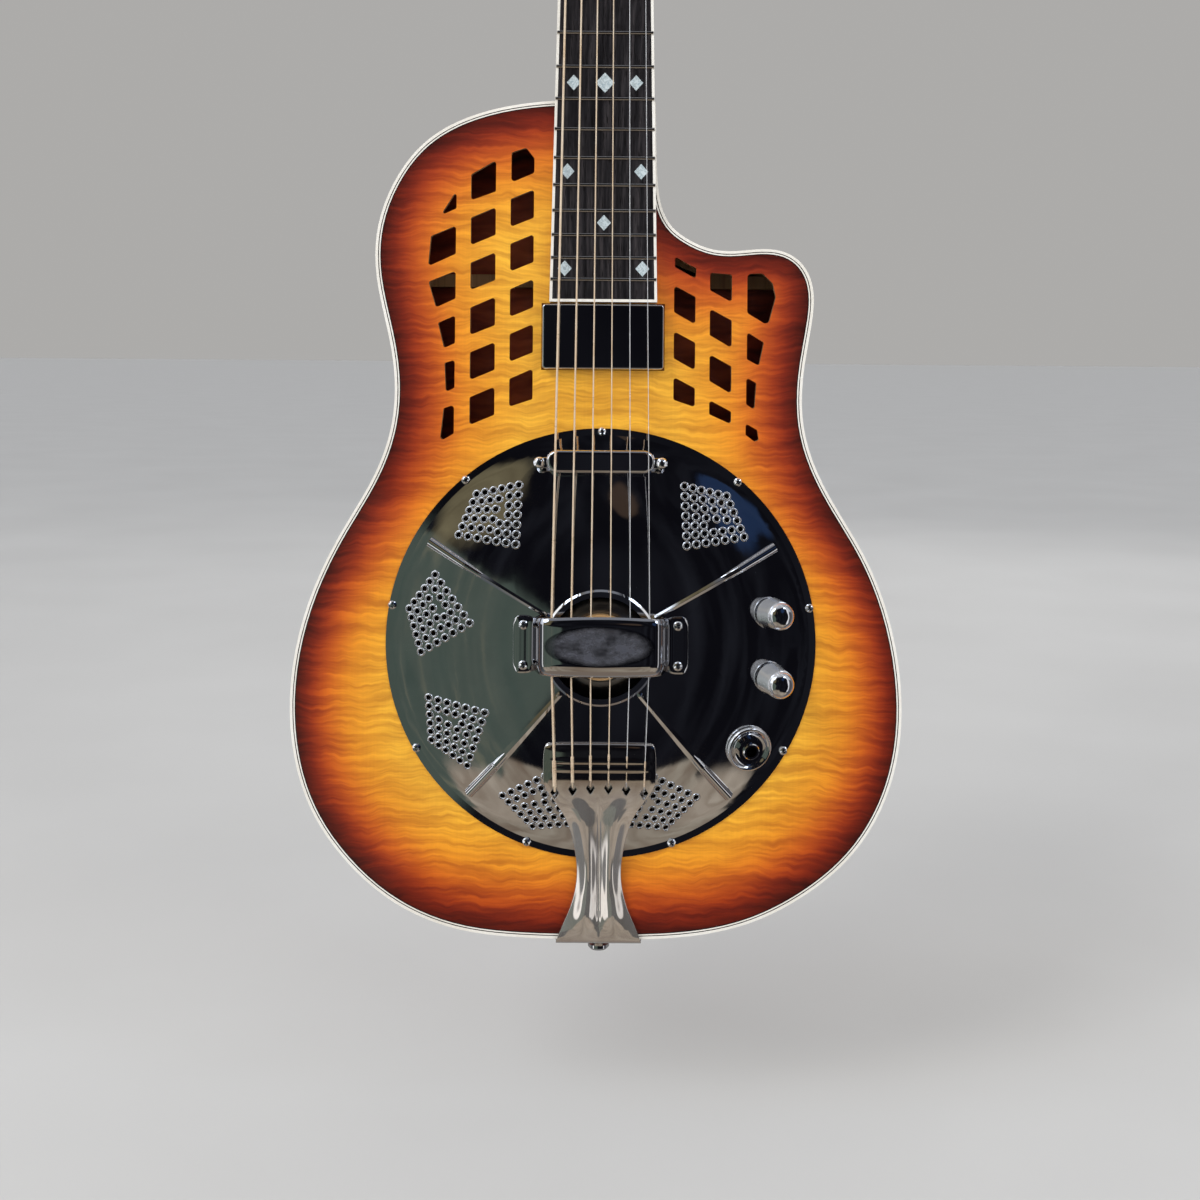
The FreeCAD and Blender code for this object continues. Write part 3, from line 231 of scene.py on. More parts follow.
def flamed_top():
    n = material("flamed_top", Coat_Roughness=0.03, **LACQUER)
    curl, u, v = flame(n, "X", "Z", 1.3, 230.0)
    waist = n.span(n.math("ABSOLUTE", n.math("ADD", v, 0.02)), 0.03, 0.13, 1.3, 1.0)
    reach = n.math("ADD", n.math("MULTIPLY", rim_distance(n), waist), n.swing(curl, 0.0035))
    blot = n.noise(n.place((9, 1, 9)), detail=2.0)
    reach = n.math("ADD", reach, n.swing(blot, 0.010))
    burst = n.ramp(n.math("DIVIDE", reach, 0.075), [
        (0.0, srgb(66, 18, 12)), (0.06, srgb(94, 25, 12)), (0.13, srgb(122, 34, 12)),
        (0.21, srgb(156, 54, 14)), (0.29, srgb(182, 76, 17)), (0.37, srgb(202, 98, 21)),
        (0.46, srgb(216, 119, 25)), (0.56, srgb(226, 139, 30)), (0.74, srgb(232, 156, 38)),
        (1.0, srgb(238, 174, 50))])
    lines = n.noise(n.stretch((u, 900.0), 0.0, (v, 14.0)), detail=1.0)
    shade = n.math("MULTIPLY", n.span(curl, 0.0, 1.0, 0.70, 1.07), n.span(lines, 0.3, 0.7, 0.98, 1.015))
    color = toned(n, burst, shade, 1.35, 1.6)
    facing = n.split(n.add("ShaderNodeNewGeometry").outputs["True Normal"])[1]
    cut_edge = n.span(n.math("ABSOLUTE", facing), 0.9, 0.6)
    layers = n.noise(n.place((60, 900, 60)), detail=2.0)
    bare = n.ramp(layers, [(0.3, srgb(170, 128, 84)), (0.7, srgb(222, 190, 148))])
    ripple = n.noise(n.place((7, 7, 7)), detail=1.0)
    finish_with(n, n.mix(cut_edge, color, bare), n.span(curl, 0, 1, 0.42, 0.30), n.bump(curl, 0.06, 0.0004),
                coat_normal=n.bump(ripple, 0.03, 0.002))


def stained_maple():
    n = material("stained_maple", Coat_Roughness=0.04, **LACQUER)
    curl = flame(n, "Y", "Z", 5.1, 105.0)[0]
    tone = n.noise(n.place((6, 6, 6)), detail=2.0)
    color = n.ramp(n.blend(curl, tone, 0.55),
                   [(0.2, srgb(52, 14, 8)), (0.5, srgb(88, 24, 11)), (0.8, srgb(128, 42, 16))])
    x, y, z = n.split(n.place())
    grain = n.noise(n.stretch((x, 500.0), (y, 500.0), (z, 9.0)), detail=2.0)
    streaks = n.ramp(grain, [(0.35, (0.02, 0.005, 0.003)), (0.6, srgb(120, 40, 18))])
    color = n.mix(0.25, color, streaks, "MULTIPLY")
    finish_with(n, color, n.span(curl, 0, 1, 0.4, 0.3), n.bump(grain, 0.05, 0.0003))


def stained_back():
    n = material("stained_back", Coat_Roughness=0.04, **LACQUER)
    curl, u, _ = flame(n, "X", "Z", 8.4, 110.0)
    reach = n.math("ADD", rim_distance(n), n.swing(curl, 0.02))
    burst = n.ramp(n.math("DIVIDE", reach, 0.12), [
        (0.0, srgb(52, 14, 8)), (0.12, srgb(84, 22, 10)), (0.3, srgb(124, 40, 14)), (0.6, srgb(160, 66, 24)),
        (0.9, srgb(176, 84, 32))])
    off_seam = n.math("GREATER_THAN", n.math("ABSOLUTE", u), 0.35 * MM)
    shade = n.math("MULTIPLY", n.span(curl, 0.0, 1.0, 0.66, 1.14), n.span(off_seam, 0.0, 1.0, 0.5, 1.0))
    color = toned(n, burst, shade, 1.3, 1.5)
    finish_with(n, color, n.span(curl, 0, 1, 0.42, 0.30), n.bump(curl, 0.05, 0.0004))


def bare_wood():
    n = material("bare_wood", Roughness=0.6)
    x, y, z = n.split(n.place())
    grain = n.noise(n.stretch((x, 700.0), (y, 700.0), (z, 10.0)), detail=3.0)
    rings = n.noise(n.stretch((x, 160.0), (y, 160.0), (z, 3.0)), detail=1.0)
    color = n.ramp(n.blend(grain, rings, 0.5), [(0.3, srgb(120, 84, 50)), (0.7, srgb(176, 136, 90))])
    finish_with(n, color, n.span(grain, 0, 1, 0.5, 0.75), n.bump(grain, 0.25, 0.0002))


def saddle_maple():
    n = material("saddle_maple", Roughness=0.45)
    grain = n.noise(n.place((40, 900, 900)), detail=3.0)
    color = n.ramp(grain, [(0.3, srgb(176, 132, 84)), (0.7, srgb(214, 176, 124))])
    finish_with(n, color, n.span(grain, 0, 1, 0.38, 0.6), n.bump(grain, 0.2, 0.0002))


def dark_rosewood():
    n = material("dark_rosewood", Specular_IOR_Level=0.45)
    x, y, z = n.split(n.place())
    sway = n.math("MULTIPLY", n.noise(n.place((18, 18, 6)), detail=2.0), 0.012)
    streak = n.noise(n.stretch((n.math("ADD", x, sway), 420.0), (y, 420.0), (z, 8.0)), detail=3.0)
    pores = n.noise(n.stretch((x, 2600.0), (y, 2600.0), (z, 110.0)), detail=1.0)
    color = n.ramp(streak, [(0.3, srgb(18, 16, 19)), (0.5, srgb(32, 29, 32)), (0.66, srgb(52, 47, 49)),
                            (0.8, srgb(68, 62, 62))])
    color = n.mix(n.span(pores, 0.56, 0.66), color, srgb(14, 10, 10))
    finish_with(n, color, n.span(streak, 0.2, 0.8, 0.33, 0.52), n.bump(pores, 0.25, 0.0002))


for make in (flamed_top, stained_maple, stained_back, bare_wood, saddle_maple, dark_rosewood):
    make()


# ------------------------------------------------------------------ materials: plastic, shell and bone
def speckled(name, light, dark, rough, bump=0.05, **values):
    n = material(name, **values)
    big = n.noise(n.place((22, 22, 22)), detail=2.0)
    small = n.noise(n.place((900, 900, 900)), detail=2.0)
    color = n.ramp(n.blend(big, small, 0.6), [(0.3, dark), (0.7, light)])
    finish_with(n, color, n.span(big, 0.3, 0.7, *rough), n.bump(small, bump, 0.0002))


def pearl():
    n = material("pearl", Coat_Weight=0.8, Coat_Roughness=0.04)
    folds = n.noise(n.place((150, 150, 150)), 1.6, 3.0, distort=1.2)
    sheen = n.noise(n.stretch((folds, 9.0), 1.0, 2.0), 1.0, 1.0)
    color = n.ramp(sheen, [(0.25, srgb(112, 126, 142)), (0.42, srgb(160, 176, 182)),
                           (0.52, srgb(200, 210, 212)), (0.62, srgb(150, 164, 166)),
                           (0.78, srgb(182, 182, 192))])
    finish_with(n, color, n.span(folds, 0.2, 0.8, 0.12, 0.3), n.bump(folds, 0.15, 0.0003))


speckled("ivory_binding", srgb(236, 233, 226), srgb(222, 216, 204), (0.16, 0.28), Coat_Weight=0.6,
         Coat_Roughness=0.05)
speckled("black_line", (0.012, 0.011, 0.011), (0.006, 0.006, 0.006), (0.2, 0.3))
speckled("bone", srgb(232, 224, 200), srgb(214, 200, 168), (0.3, 0.42))
speckled("coil_black", (0.02, 0.02, 0.02), (0.008, 0.008, 0.008), (0.5, 0.7), 0.2)
speckled("gloss_black", (0.010, 0.009, 0.010), (0.005, 0.005, 0.006), (0.08, 0.16), 0.02, Coat_Weight=1.0,
         Coat_Roughness=0.03)
pearl()


# ------------------------------------------------------------------ materials: metal
WRAP_PITCH = 0.45 * MM


def metal(name, light, dark, rough, scale=(60, 60, 60), bump=0.02, fine=(2400, 2400, 2400)):
    n = material(name, Metallic=1.0)
    smudge = n.noise(n.place(scale), detail=4.0, rough=0.6)
    hair = n.noise(n.place(fine), detail=1.0)
    finish_with(n, n.ramp(smudge, [(0.35, dark), (0.65, light)]), n.span(smudge, 0.3, 0.75, *rough),
                n.bump(hair, bump, 0.00005))
    return n


def bright_chrome():
    """Chrome of small turned parts, with painted light: its upper left sides are less metallic, so lighter."""
    n = metal("bright_chrome", (0.92, 0.93, 0.95), (0.84, 0.85, 0.88), (0.04, 0.12), (220, 220, 220))
    nx, ny, nz = n.split(n.add("ShaderNodeNewGeometry").outputs["Normal"])
    upper_left_for_painted_light = n.math("MULTIPLY", n.math("SUBTRACT", nz, nx), 0.7)
    # painted light: sides that face up and to the left drop to 0.66 metallic
    side = n.span(upper_left_for_painted_light, 0.85, -0.1, 0.66, 1.0, smooth=True)
    face = n.span(n.math("MULTIPLY", ny, -1.0), 0.55, 0.90, smooth=True)
    finish_with(n, metal=n.math("MAXIMUM", side, face))


def aged_nickel():
    """Plating, duller below the strings' anchor holes: less metallic there, painted light that makes the sheet
    look lighter.
    """
    n = metal("aged_nickel", (0.82, 0.77, 0.72), (0.72, 0.66, 0.60), (0.05, 0.11), (90, 90, 40))
    # painted light: 0.86 metallic below the anchor holes, full metal above
    finish_with(n, metal=n.span(n.split(n.place())[2], -0.086, -0.076, 0.86, 1.0))


def spun_aluminium():
    n = material("spun_aluminium", Metallic=1.0)
    x, y, z = n.split(n.place())
    radius = n.length(n.join(x, 0.0, z))
    rings = n.noise(n.stretch((radius, 1500.0), 0.0, 0.0), detail=2.0)
    # painted shade: the rings are drawn dark, well below bare aluminium, as the cone lies in shade under the
    # coverplate
    finish_with(n, n.ramp(rings, [(0.3, (0.26, 0.26, 0.27)), (0.7, (0.42, 0.42, 0.43))]),
                n.span(rings, 0.3, 0.7, 0.24, 0.42), n.bump(rings, 0.3, 0.0002))


def bronze_wound():
    """String with a helical wrap of fine wire."""
    n = material("bronze_wound", Metallic=0.25, Specular_IOR_Level=0.8)
    x, y, z = n.split(n.place())
    along = n.math("ADD", z, n.math("MULTIPLY", x, 0.25))
    wrap = n.math("SINE", n.math("MULTIPLY", along, 2 * math.pi / WRAP_PITCH))
    age = n.noise(n.place((20, 20, 60)), detail=3.0)
    color = n.ramp(age, [(0.3, srgb(236, 206, 170)), (0.7, srgb(252, 234, 208))])
    # painted shade: the grooves between the wire's turns are drawn darker
    color = n.mix(n.span(wrap, -1.0, 0.2, 0.5, 0.0), color, srgb(120, 92, 66))
    finish_with(n, color, n.span(age, 0.3, 0.7, 0.24, 0.38), n.bump(wrap, 0.5, 0.00006))


def plain_steel():
    n = material("plain_steel", Metallic=0.35, Specular_IOR_Level=0.8)
    age = n.noise(n.place((90, 90, 260)), detail=3.0)
    finish_with(n, n.ramp(age, [(0.3, (0.66, 0.66, 0.67)), (0.7, (0.86, 0.86, 0.87))]),
                n.span(age, 0.3, 0.7, 0.16, 0.30))


metal("chrome_plate", (0.84, 0.84, 0.85), (0.78, 0.78, 0.79), (0.025, 0.075))
metal("fret_wire", (0.74, 0.72, 0.69), (0.62, 0.60, 0.57), (0.14, 0.26), bump=0.08, fine=(3000, 900, 900))
metal("steel_parts", (0.62, 0.62, 0.63), (0.46, 0.46, 0.47), (0.18, 0.34), bump=0.1)
for make in (bright_chrome, aged_nickel, spun_aluminium, bronze_wound, plain_steel):
    make()

OTHER_LOOK = {"back_plate": "stained_back", "plain_strings": "plain_steel"}
for name, obj in NODES.items():
    look = "bright_chrome" if name.endswith("screws") else OTHER_LOOK.get(name, SLOT[name])
    if not obj.data.materials:
        obj.data.materials.append(MATS[look])
    for i in range(len(obj.data.materials)):
        obj.data.materials[i] = MATS[look]


# ------------------------------------------------------------------ top and back, shaded from the rim
def rim_points():
    """Points along the body's outline, from the top binding's edges."""
    mesh = NODES["top_binding"].data
    pts = []
    for edge in mesh.edges:
        a, b = (mesh.vertices[i].co for i in edge.vertices)
        if abs(a.y - b.y) > 1e-5:
            continue
        steps = max(1, int((a - b).length / 0.002))
        pts += [a.lerp(b, i / steps) for i in range(steps + 1)]
    return [Vector((p.x, 0, p.z)) for p in pts]


RIM = rim_points()
rim_tree = KDTree(len(RIM))
for i, p in enumerate(RIM):
    rim_tree.insert(p, i)
rim_tree.balance()


def diced(node, name, look, step):
    """A copy of a CAD sheet cut into a fine grid, with each point's distance from the body's rim."""
    bm = bmesh.new()
    bm.from_mesh(NODES[node].data)
    bmesh.ops.remove_doubles(bm, verts=bm.verts, dist=1e-7)
    low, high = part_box(node)
    for axis in (0, 2):
        count = int((high[axis] - low[axis]) / step)
        for i in range(1, count):
            at, normal = [0, 0, 0], [0, 0, 0]
            at[axis] = low[axis] + (high[axis] - low[axis]) * i / count
            normal[axis] = 1
            bmesh.ops.bisect_plane(bm, geom=bm.verts[:] + bm.edges[:] + bm.faces[:], dist=1e-7, plane_co=at,
                                   plane_no=normal)
    mesh = bpy.data.meshes.new(name)
    bm.to_mesh(mesh)
    bm.free()
    rim = mesh.attributes.new("rim", "FLOAT", "POINT")
    rim.data.foreach_set("value", [rim_tree.find((v.co.x, 0, v.co.z))[2] for v in mesh.vertices])
    obj = bpy.data.objects.new(name, mesh)
    scene.collection.objects.link(obj)
    mesh.materials.append(MATS[look])
    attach(obj, "guitar")
    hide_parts(node)


diced("soundboard", "top_plate", "flamed_top", 6 * MM)
diced("back_plate", "back_panel", "stained_back", 10 * MM)


# ------------------------------------------------------------------ helpers for new pieces
def front(x, z, h):
    """A point from X, Z and height above the top plate, all in millimetres."""
    return Vector((x * MM, TOP - h * MM, z * MM))


def piece(name, bm, look, body, replaces=(), smooth=True):
    bmesh.ops.recalc_face_normals(bm, faces=bm.faces)
    for face in bm.faces:
        face.smooth = smooth
    mesh = bpy.data.meshes.new(name)
    bm.to_mesh(mesh)
    bm.free()
    obj = bpy.data.objects.new(name, mesh)
    scene.collection.objects.link(obj)
    mesh.materials.append(MATS[look])
    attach(obj, body)
    if replaces:
        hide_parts(*replaces)
    return obj


def baked(obj):
    """Applies the modifiers, so that the piece is one plain mesh."""
    graph = bpy.context.evaluated_depsgraph_get()
    mesh = bpy.data.meshes.new_from_object(obj.evaluated_get(graph))
    obj.modifiers.clear()
    obj.data = mesh
    return obj


def follow(table, t):
    """Smooth interpolation through (t, value) pairs in rising order of t."""
    if t <= table[0][0]:
        return table[0][1]
    for k in range(len(table) - 1):
        (t0, v0), (t1, v1) = table[k], table[k + 1]
        if t <= t1:
            before = table[k - 1] if k else (t0 - (t1 - t0), v0)
            after = table[k + 2] if k + 2 < len(table) else (t1 + (t1 - t0), v1)
            m0 = (v1 - before[1]) / (t1 - before[0]) * (t1 - t0)
            m1 = (after[1] - v0) / (after[0] - t0) * (t1 - t0)
            s = (t - t0) / (t1 - t0)
            return ((2 * s ** 3 - 3 * s * s + 1) * v0 + (s ** 3 - 2 * s * s + s) * m0
                    + (3 * s * s - 2 * s ** 3) * v1 + (s ** 3 - s * s) * m1)
    return table[-1][1]


def smoothstep(a, b, x):
    t = max(0.0, min(1.0, (x - a) / (b - a)))
    return t * t * (3 - 2 * t)


def hump(x, middle, width):
    """A bell curve of height 1."""
    return math.exp(-((x - middle) / width) ** 2)


def turn_steps(count):
    """Angles of one whole turn."""
    return [2 * math.pi * k / count for k in range(count)]


def around(r, h, a):
    """A point at a radius, a height and an angle about Z, from millimetres."""
    return Vector((r * math.cos(a), r * math.sin(a), h)) * MM


def bridge(bm, rings):
    """Joins closed rings of equal length with quads."""
    for p, q in zip(rings, rings[1:]):
        for k in range(len(p)):
            bm.faces.new((p[k], p[(k + 1) % len(p)], q[(k + 1) % len(p)], q[k]))


def sheet_grid(nu, nv, point):
    """A grid of quads from point(u, v), u and v from 0 to 1."""
    bm = bmesh.new()
    rows = [[bm.verts.new(point(i / nu, j / nv)) for i in range(nu + 1)] for j in range(nv + 1)]
    for j in range(nv):
        for i in range(nu):
            bm.faces.new((rows[j][i], rows[j][i + 1], rows[j + 1][i + 1], rows[j + 1][i]))
    return bm


def thicken(obj, thickness, bevel):
    """Gives a sheet its thickness, softened edges and one subdivision; sizes in millimetres."""
    solid = obj.modifiers.new("thick", "SOLIDIFY")
    solid.thickness, solid.offset, solid.use_rim = thickness * MM, -1.0, True
    edge = obj.modifiers.new("edge", "BEVEL")
    edge.width, edge.segments, edge.limit_method, edge.angle_limit = bevel * MM, 2, "ANGLE", math.radians(50)
    fine = obj.modifiers.new("fine", "SUBSURF")
    fine.levels = fine.render_levels = 1
    baked(obj)


def lathe(name, profile, base, axis, look, body, replaces):
    """A turned piece about an axis, from (radius, height) pairs in millimetres."""
    turn = Vector(axis).to_track_quat("Z", "Y")
    segments = 72
    bm = bmesh.new()
    rings = []
    for r, h in profile:
        rings.append([bm.verts.new(Vector(base) + turn @ around(r, h, a))
                      for a in (turn_steps(segments) if r > 0 else [0.0])])
    for p, q in zip(rings, rings[1:]):
        for a in range(segments):
            b = (a + 1) % segments
            loop = [p[a % len(p)], p[b % len(p)], q[b % len(q)], q[a % len(q)]]
            loop = [v for i, v in enumerate(loop) if v not in loop[:i]]
            if len(loop) > 2:
                bm.faces.new(loop)
    piece(name, bm, look, body, replaces)


def sampled(corners, step=0.35):
    """Rounds a coarse (radius, height) profile with short steps."""
    pts = []
    for (r0, h0), (r1, h1) in zip(corners, corners[1:]):
        count = max(1, int(math.hypot(r1 - r0, h1 - h0) / step))
        pts += [(r0 + (r1 - r0) * i / count, h0 + (h1 - h0) * i / count) for i in range(count)]
    pts.append(corners[-1])
    for _ in range(6):
        pts = [pts[0]] + [tuple(0.25 * a + 0.5 * b + 0.25 * c for a, b, c in zip(p, q, r))
                          for p, q, r in zip(pts, pts[1:], pts[2:])] + [pts[-1]]
    return pts


# ------------------------------------------------------------------ hand rest
REST_HALF = 50.5
REST_LOW, REST_HIGH = -14.6, 18.6
REST_CORNER = 4.2
REST_BEND = 36.6                       # X of the middle of the bend between arch and foot
DISH_HALF_X, DISH_HALF_Z = 31.5, 11.8
DISH_X, DISH_Z = -0.5, 3.0
REST_ARCH = [(0.0, 28.75), (18.0, 28.7), (27.0, 28.4), (31.8, 27.5), (34.6, 25.9), (36.4, 23.2), (37.6, 20.0),
             (38.8, 18.3), (40.8, 17.55), (44.5, 17.4), (50.5, 17.35)]


def rest_point(u, v):
    """A point of the rest's outer face: an arch with rolled edges and a dish, on two flat feet."""
    x = REST_HALF * (2 * u - 1)
    ax = abs(x)
    swell = math.cos(min(ax / 34.0, 1.0) * math.pi / 2)
    past = max(0.0, ax - (REST_HALF - REST_CORNER))
    corner = REST_CORNER - math.sqrt(max(0.0, REST_CORNER ** 2 - past ** 2))
    pinch = 1.2 * hump(ax, 38.5, 2.6)
    low = REST_LOW - 0.9 * swell + pinch + corner
    high = REST_HIGH + 1.2 * swell - pinch - corner
    span = high - low
    z = low + span * v
    roll = 3.6 * max(0.0, 1 - (z - low) / (0.24 * span)) ** 2
    roll += 1.6 * max(0.0, 1 - (high - z) / (0.14 * span)) ** 2
    h = follow(REST_ARCH, ax) - roll * (1 - smoothstep(37.5, 40.5, ax)) - 0.5 * abs(2 * v - 1) ** 8
    oval = math.hypot((x - DISH_X) / DISH_HALF_X, (z - DISH_Z) / DISH_HALF_Z)
    h -= 0.5 * (1 - smoothstep(0.55, 1.0, oval))
    h -= 0.8 * smoothstep(47.5, 50.5, ax)
    return front(x, z, h)


def rest_chrome_painted_reflections():
    """Chrome with painted reflections: a cloudy dark bluish oval in the dish, also rougher and less metallic, and
    bends painted dark.
    """
    n = metal("rest_chrome_painted_reflections", (0.84, 0.84, 0.85), (0.78, 0.78, 0.79), (0.025, 0.075))
    x, y, z = n.split(n.place())
    u = n.math("DIVIDE", n.math("SUBTRACT", x, DISH_X * MM), DISH_HALF_X * MM)
    v = n.math("DIVIDE", n.math("SUBTRACT", z, DISH_Z * MM), DISH_HALF_Z * MM)
    oval = n.math("SQRT", n.squares(u, v))
    cloud = n.noise(n.place((70, 70, 110)), detail=3.0, rough=0.6)
    smear = n.noise(n.place((240, 240, 500)), detail=4.0, rough=0.65)
    clouded_reflection = n.span(n.blend(cloud, smear, 0.7), 0.38, 0.66, 0.1, 0.6)
    painted_reflection_mask = n.math("MULTIPLY", n.span(oval, 1.0, 0.7, smooth=True), clouded_reflection)
    # painted reflection: the plate's colour is painted dark along both bends
    off_bend = n.math("ABSOLUTE", n.math("SUBTRACT", n.math("ABSOLUTE", x), REST_BEND * MM))
    plate = n.mix(n.span(off_bend, 5.0 * MM, 2.4 * MM, smooth=True), (0.80, 0.80, 0.81), (0.30, 0.30, 0.32))
    # painted reflection: a dark bluish cloud of base colour in the dish
    painted_reflection_colour = n.mix(painted_reflection_mask, (0.24, 0.24, 0.27), srgb(36, 46, 66))
    finish_with(n, n.mix(n.span(oval, 1.02, 0.98), plate, painted_reflection_colour), n.span(painted_reflection_mask, 0.0, 0.6, 0.06, 0.4),
                metal=n.span(painted_reflection_mask, 0.0, 0.6, 1.0, 0.45))


rest_chrome_painted_reflections()
rest = piece("hand_rest_arch", sheet_grid(140, 52, rest_point), "rest_chrome_painted_reflections", "guitar", ["hand_rest"])
thicken(rest, 0.95, 0.2)

# ------------------------------------------------------------------ tailpiece
# Distance along the sheet, then its Z and its height. The sheet turns down over the body's end.
TAIL_PATH = [(0, -54.9, 15.7), (1.4, -56.0, 16.9), (4.0, -58.6, 17.55), (8, -62.6, 17.75), (14, -68.6, 17.8),
             (20, -74.6, 17.65), (24, -78.5, 17.1), (28, -82.4, 16.2), (36, -90.2, 14.3), (46, -99.9, 11.8),
             (60.5, -113.8, 8.5), (75, -128, 5.9), (87, -140, 4.5), (107, -160, 3.8), (119, -172.0, 3.5),
             (121.6, -174.4, 2.9), (123.4, -175.7, 1.6), (125.2, -176.3, 0.0), (149, -176.4, -23.5),
             (152, -176.4, -26.5), (175, -176.4, -49.8)]
TAIL_Z = [(s, z) for s, z, h in TAIL_PATH]
TAIL_HEIGHT = [(s, h) for s, z, h in TAIL_PATH]
TAIL_HALF = [(0, 29.0), (1.5, 31.2), (6, 32.4), (14, 32.7), (24, 32.3), (29, 30.2), (35, 26.0), (44, 20.6),
             (54, 17.0), (66, 14.4), (77, 13.1), (88, 13.5), (100, 16.3), (112, 21.2), (121, 24.6),
             (126, 25.0), (144, 24.4), (150, 13.0), (152, 11.8), (175, 11.6)]
TAIL_LENGTH = TAIL_PATH[-1][0]
TAIL_FOLD = 121                        # distance at which the sheet turns down
TAIL_HIGHEST = 20.6


def tail_point(u, v):
    s = TAIL_LENGTH * v
    z, h, half = follow(TAIL_Z, s), follow(TAIL_HEIGHT, s), follow(TAIL_HALF, s)
    x = half * (2 * u - 1)
    if s > TAIL_FOLD:
        return front(x, z, h)
    ax, side = abs(x), abs(2 * u - 1)
    head = 1 - smoothstep(26, 40, s)
    neck = smoothstep(28, 50, s) * (1 - smoothstep(104, TAIL_FOLD, s))
    foot = smoothstep(92, 104, s) * (1 - smoothstep(108, 120, s))
    flutes = neck * (3.2 * hump(ax, 0.48 * half, 0.33 * half) - 0.45 * hump(x, 0, 0.9))
    ridges = 0.45 * (hump(s, 10.5, 1.3) + hump(s, 15.0, 1.3)) * (1 - side ** 6)
    lift = flutes + ridges + 0.8 * foot * hump(ax, 6.5, 5.5) - (1.1 * head + 0.6 * neck) * side ** 8
    bow = head * 0.6 * (1 - (ax / 33.0) ** 2)
    return front(x, z + 0.7 * bow * (1 - smoothstep(0, 12, s)), min(h + lift + 0.35 * bow, TAIL_HIGHEST))


tail = piece("tailpiece_sheet", sheet_grid(64, 190, tail_point), "aged_nickel", "guitar", ["tailpiece"])
thicken(tail, 1.3, 0.25)


def cut_out(obj, prisms):
    """Cuts prisms, given as (corners in X and Z, low height, high height), through a piece."""
    bm = bmesh.new()
    for corners, low, high in prisms:
        a = [bm.verts.new(front(x, z, low)) for x, z in corners]
        b = [bm.verts.new(front(x, z, high)) for x, z in corners]
        bm.faces.new(a)
        bm.faces.new(b[::-1])
        bridge(bm, [a, b])
    bmesh.ops.recalc_face_normals(bm, faces=bm.faces)
    mesh = bpy.data.meshes.new("cutter")
    bm.to_mesh(mesh)
    bm.free()
    cutter = bpy.data.objects.new("cutter", mesh)
    scene.collection.objects.link(cutter)
    cut = obj.modifiers.new("cut", "BOOLEAN")
    cut.operation, cut.object, cut.solver = "DIFFERENCE", cutter, "EXACT"
    bpy.context.view_layer.update()
    baked(obj)
    bpy.data.objects.remove(cutter)


# X and Z of each string's anchor hole, and the string's radius
ANCHORS = [(-25.8, -81.6, 0.66), (-15.5, -79.4, 0.52), (-5.2, -78.5, 0.42), (5.2, -78.3, 0.33),
           (15.5, -79.2, 0.22), (25.8, -81.8, 0.18)]
KEYHOLE = [(0, 2.4), (1.0, 0.6), (2.5, -2.2), (0.9, -5.0), (0, -6.2), (-0.9, -5.0), (-2.5, -2.2), (-1.0, 0.6)]
cut_out(tail, [([(x + dx, z + dz) for dx, dz in KEYHOLE], 8, 24) for x, z, r in ANCHORS])

# ------------------------------------------------------------------ knobs
KNOB = sampled([(0.0, 21.5), (2.8, 21.35), (5.2, 20.7), (7.0, 19.3), (8.0, 17.2), (8.4, 14.4), (8.75, 9.0),
                (9.2, 3.6), (9.5, 2.3), (9.3, 1.7), (7.7, 1.7), (7.7, 4.0), (3.1, 4.0), (3.1, 14.8),
                (0.0, 14.8)])
for tag in ("volume", "tone"):
    joint = JOINTS[tag + "_turn"]
    lathe(tag + "_knob_turned", KNOB, joint["pos_m"], joint["axis"], "bright_chrome", tag, [tag + "_knob"])

# ------------------------------------------------------------------ coverplate perforations
# The coverplate's height at each distance from its centre.
DOME = [(33.8, 15.8), (40, 15.6), (58, 15.0), (74, 13.7), (88, 11.4), (100, 8.3), (112, 4.4), (119, 2.0),
        (122.3, 1.2)]
PATCH_ANGLES = (50, 130, 170, 210, 250, 290)
PATCH_INNER, PATCH_OUTER = Vector((77.2, 0)), Vector((113.8, 0))
PATCH_LEFT, PATCH_RIGHT = Vector((102.3, -22.8)), Vector((102.3, 22.8))
PATCH_ROWS = 7
FAR_ENDS = (0, 0.2, 0.4, 0.6, 0.7, 0.8, 1.0)
SPACES = (5, 5, 5, 5, 6, 6, 6)
SHORT_ROW, SHORT_COUNT = 4, 3          # the row that stops early, at the patch's open middle
LIP = [(1.45, -0.55), (1.45, 0.05), (1.64, 0.50), (1.98, 0.74), (2.34, 0.56), (2.58, 0.16), (2.70, -0.16)]


def perforation_spots(deg):
    turn = Matrix.Rotation(math.radians(deg), 2)
    for row in range(PATCH_ROWS):
        near = PATCH_RIGHT.lerp(PATCH_INNER, row / (PATCH_ROWS - 1))
        far = PATCH_OUTER.lerp(PATCH_LEFT, FAR_ENDS[row])
        for k in range(SHORT_COUNT if row == SHORT_ROW else SPACES[row] + 1):
            yield turn @ near.lerp(far, k / SPACES[row])


def dome_at(p):
    """The point of the coverplate's face over p, in X and Z, and the direction out of it."""
    r = p.length
    slope = (follow(DOME, r - 1) - follow(DOME, r + 1)) / 2
    out = Vector((p.x / r * slope, -1.0, p.y / r * slope)).normalized()
    return front(p.x, p.y, follow(DOME, r)), out


bm = bmesh.new()
for deg in PATCH_ANGLES:
    for spot in perforation_spots(deg):
        at, out = dome_at(spot)
        turn = out.to_track_quat("Z", "Y")
        bridge(bm, [[bm.verts.new(at + turn @ around(r, h, a)) for a in turn_steps(20)] for r, h in LIP])
piece("perforation_lips", bm, "bright_chrome", "guitar")

# ------------------------------------------------------------------ coverplate folds
FOLD_FROM, FOLD_TO = 33.6, 118.0
FOLD_ANGLES = (149.5, 29.5, -131, -49.5)


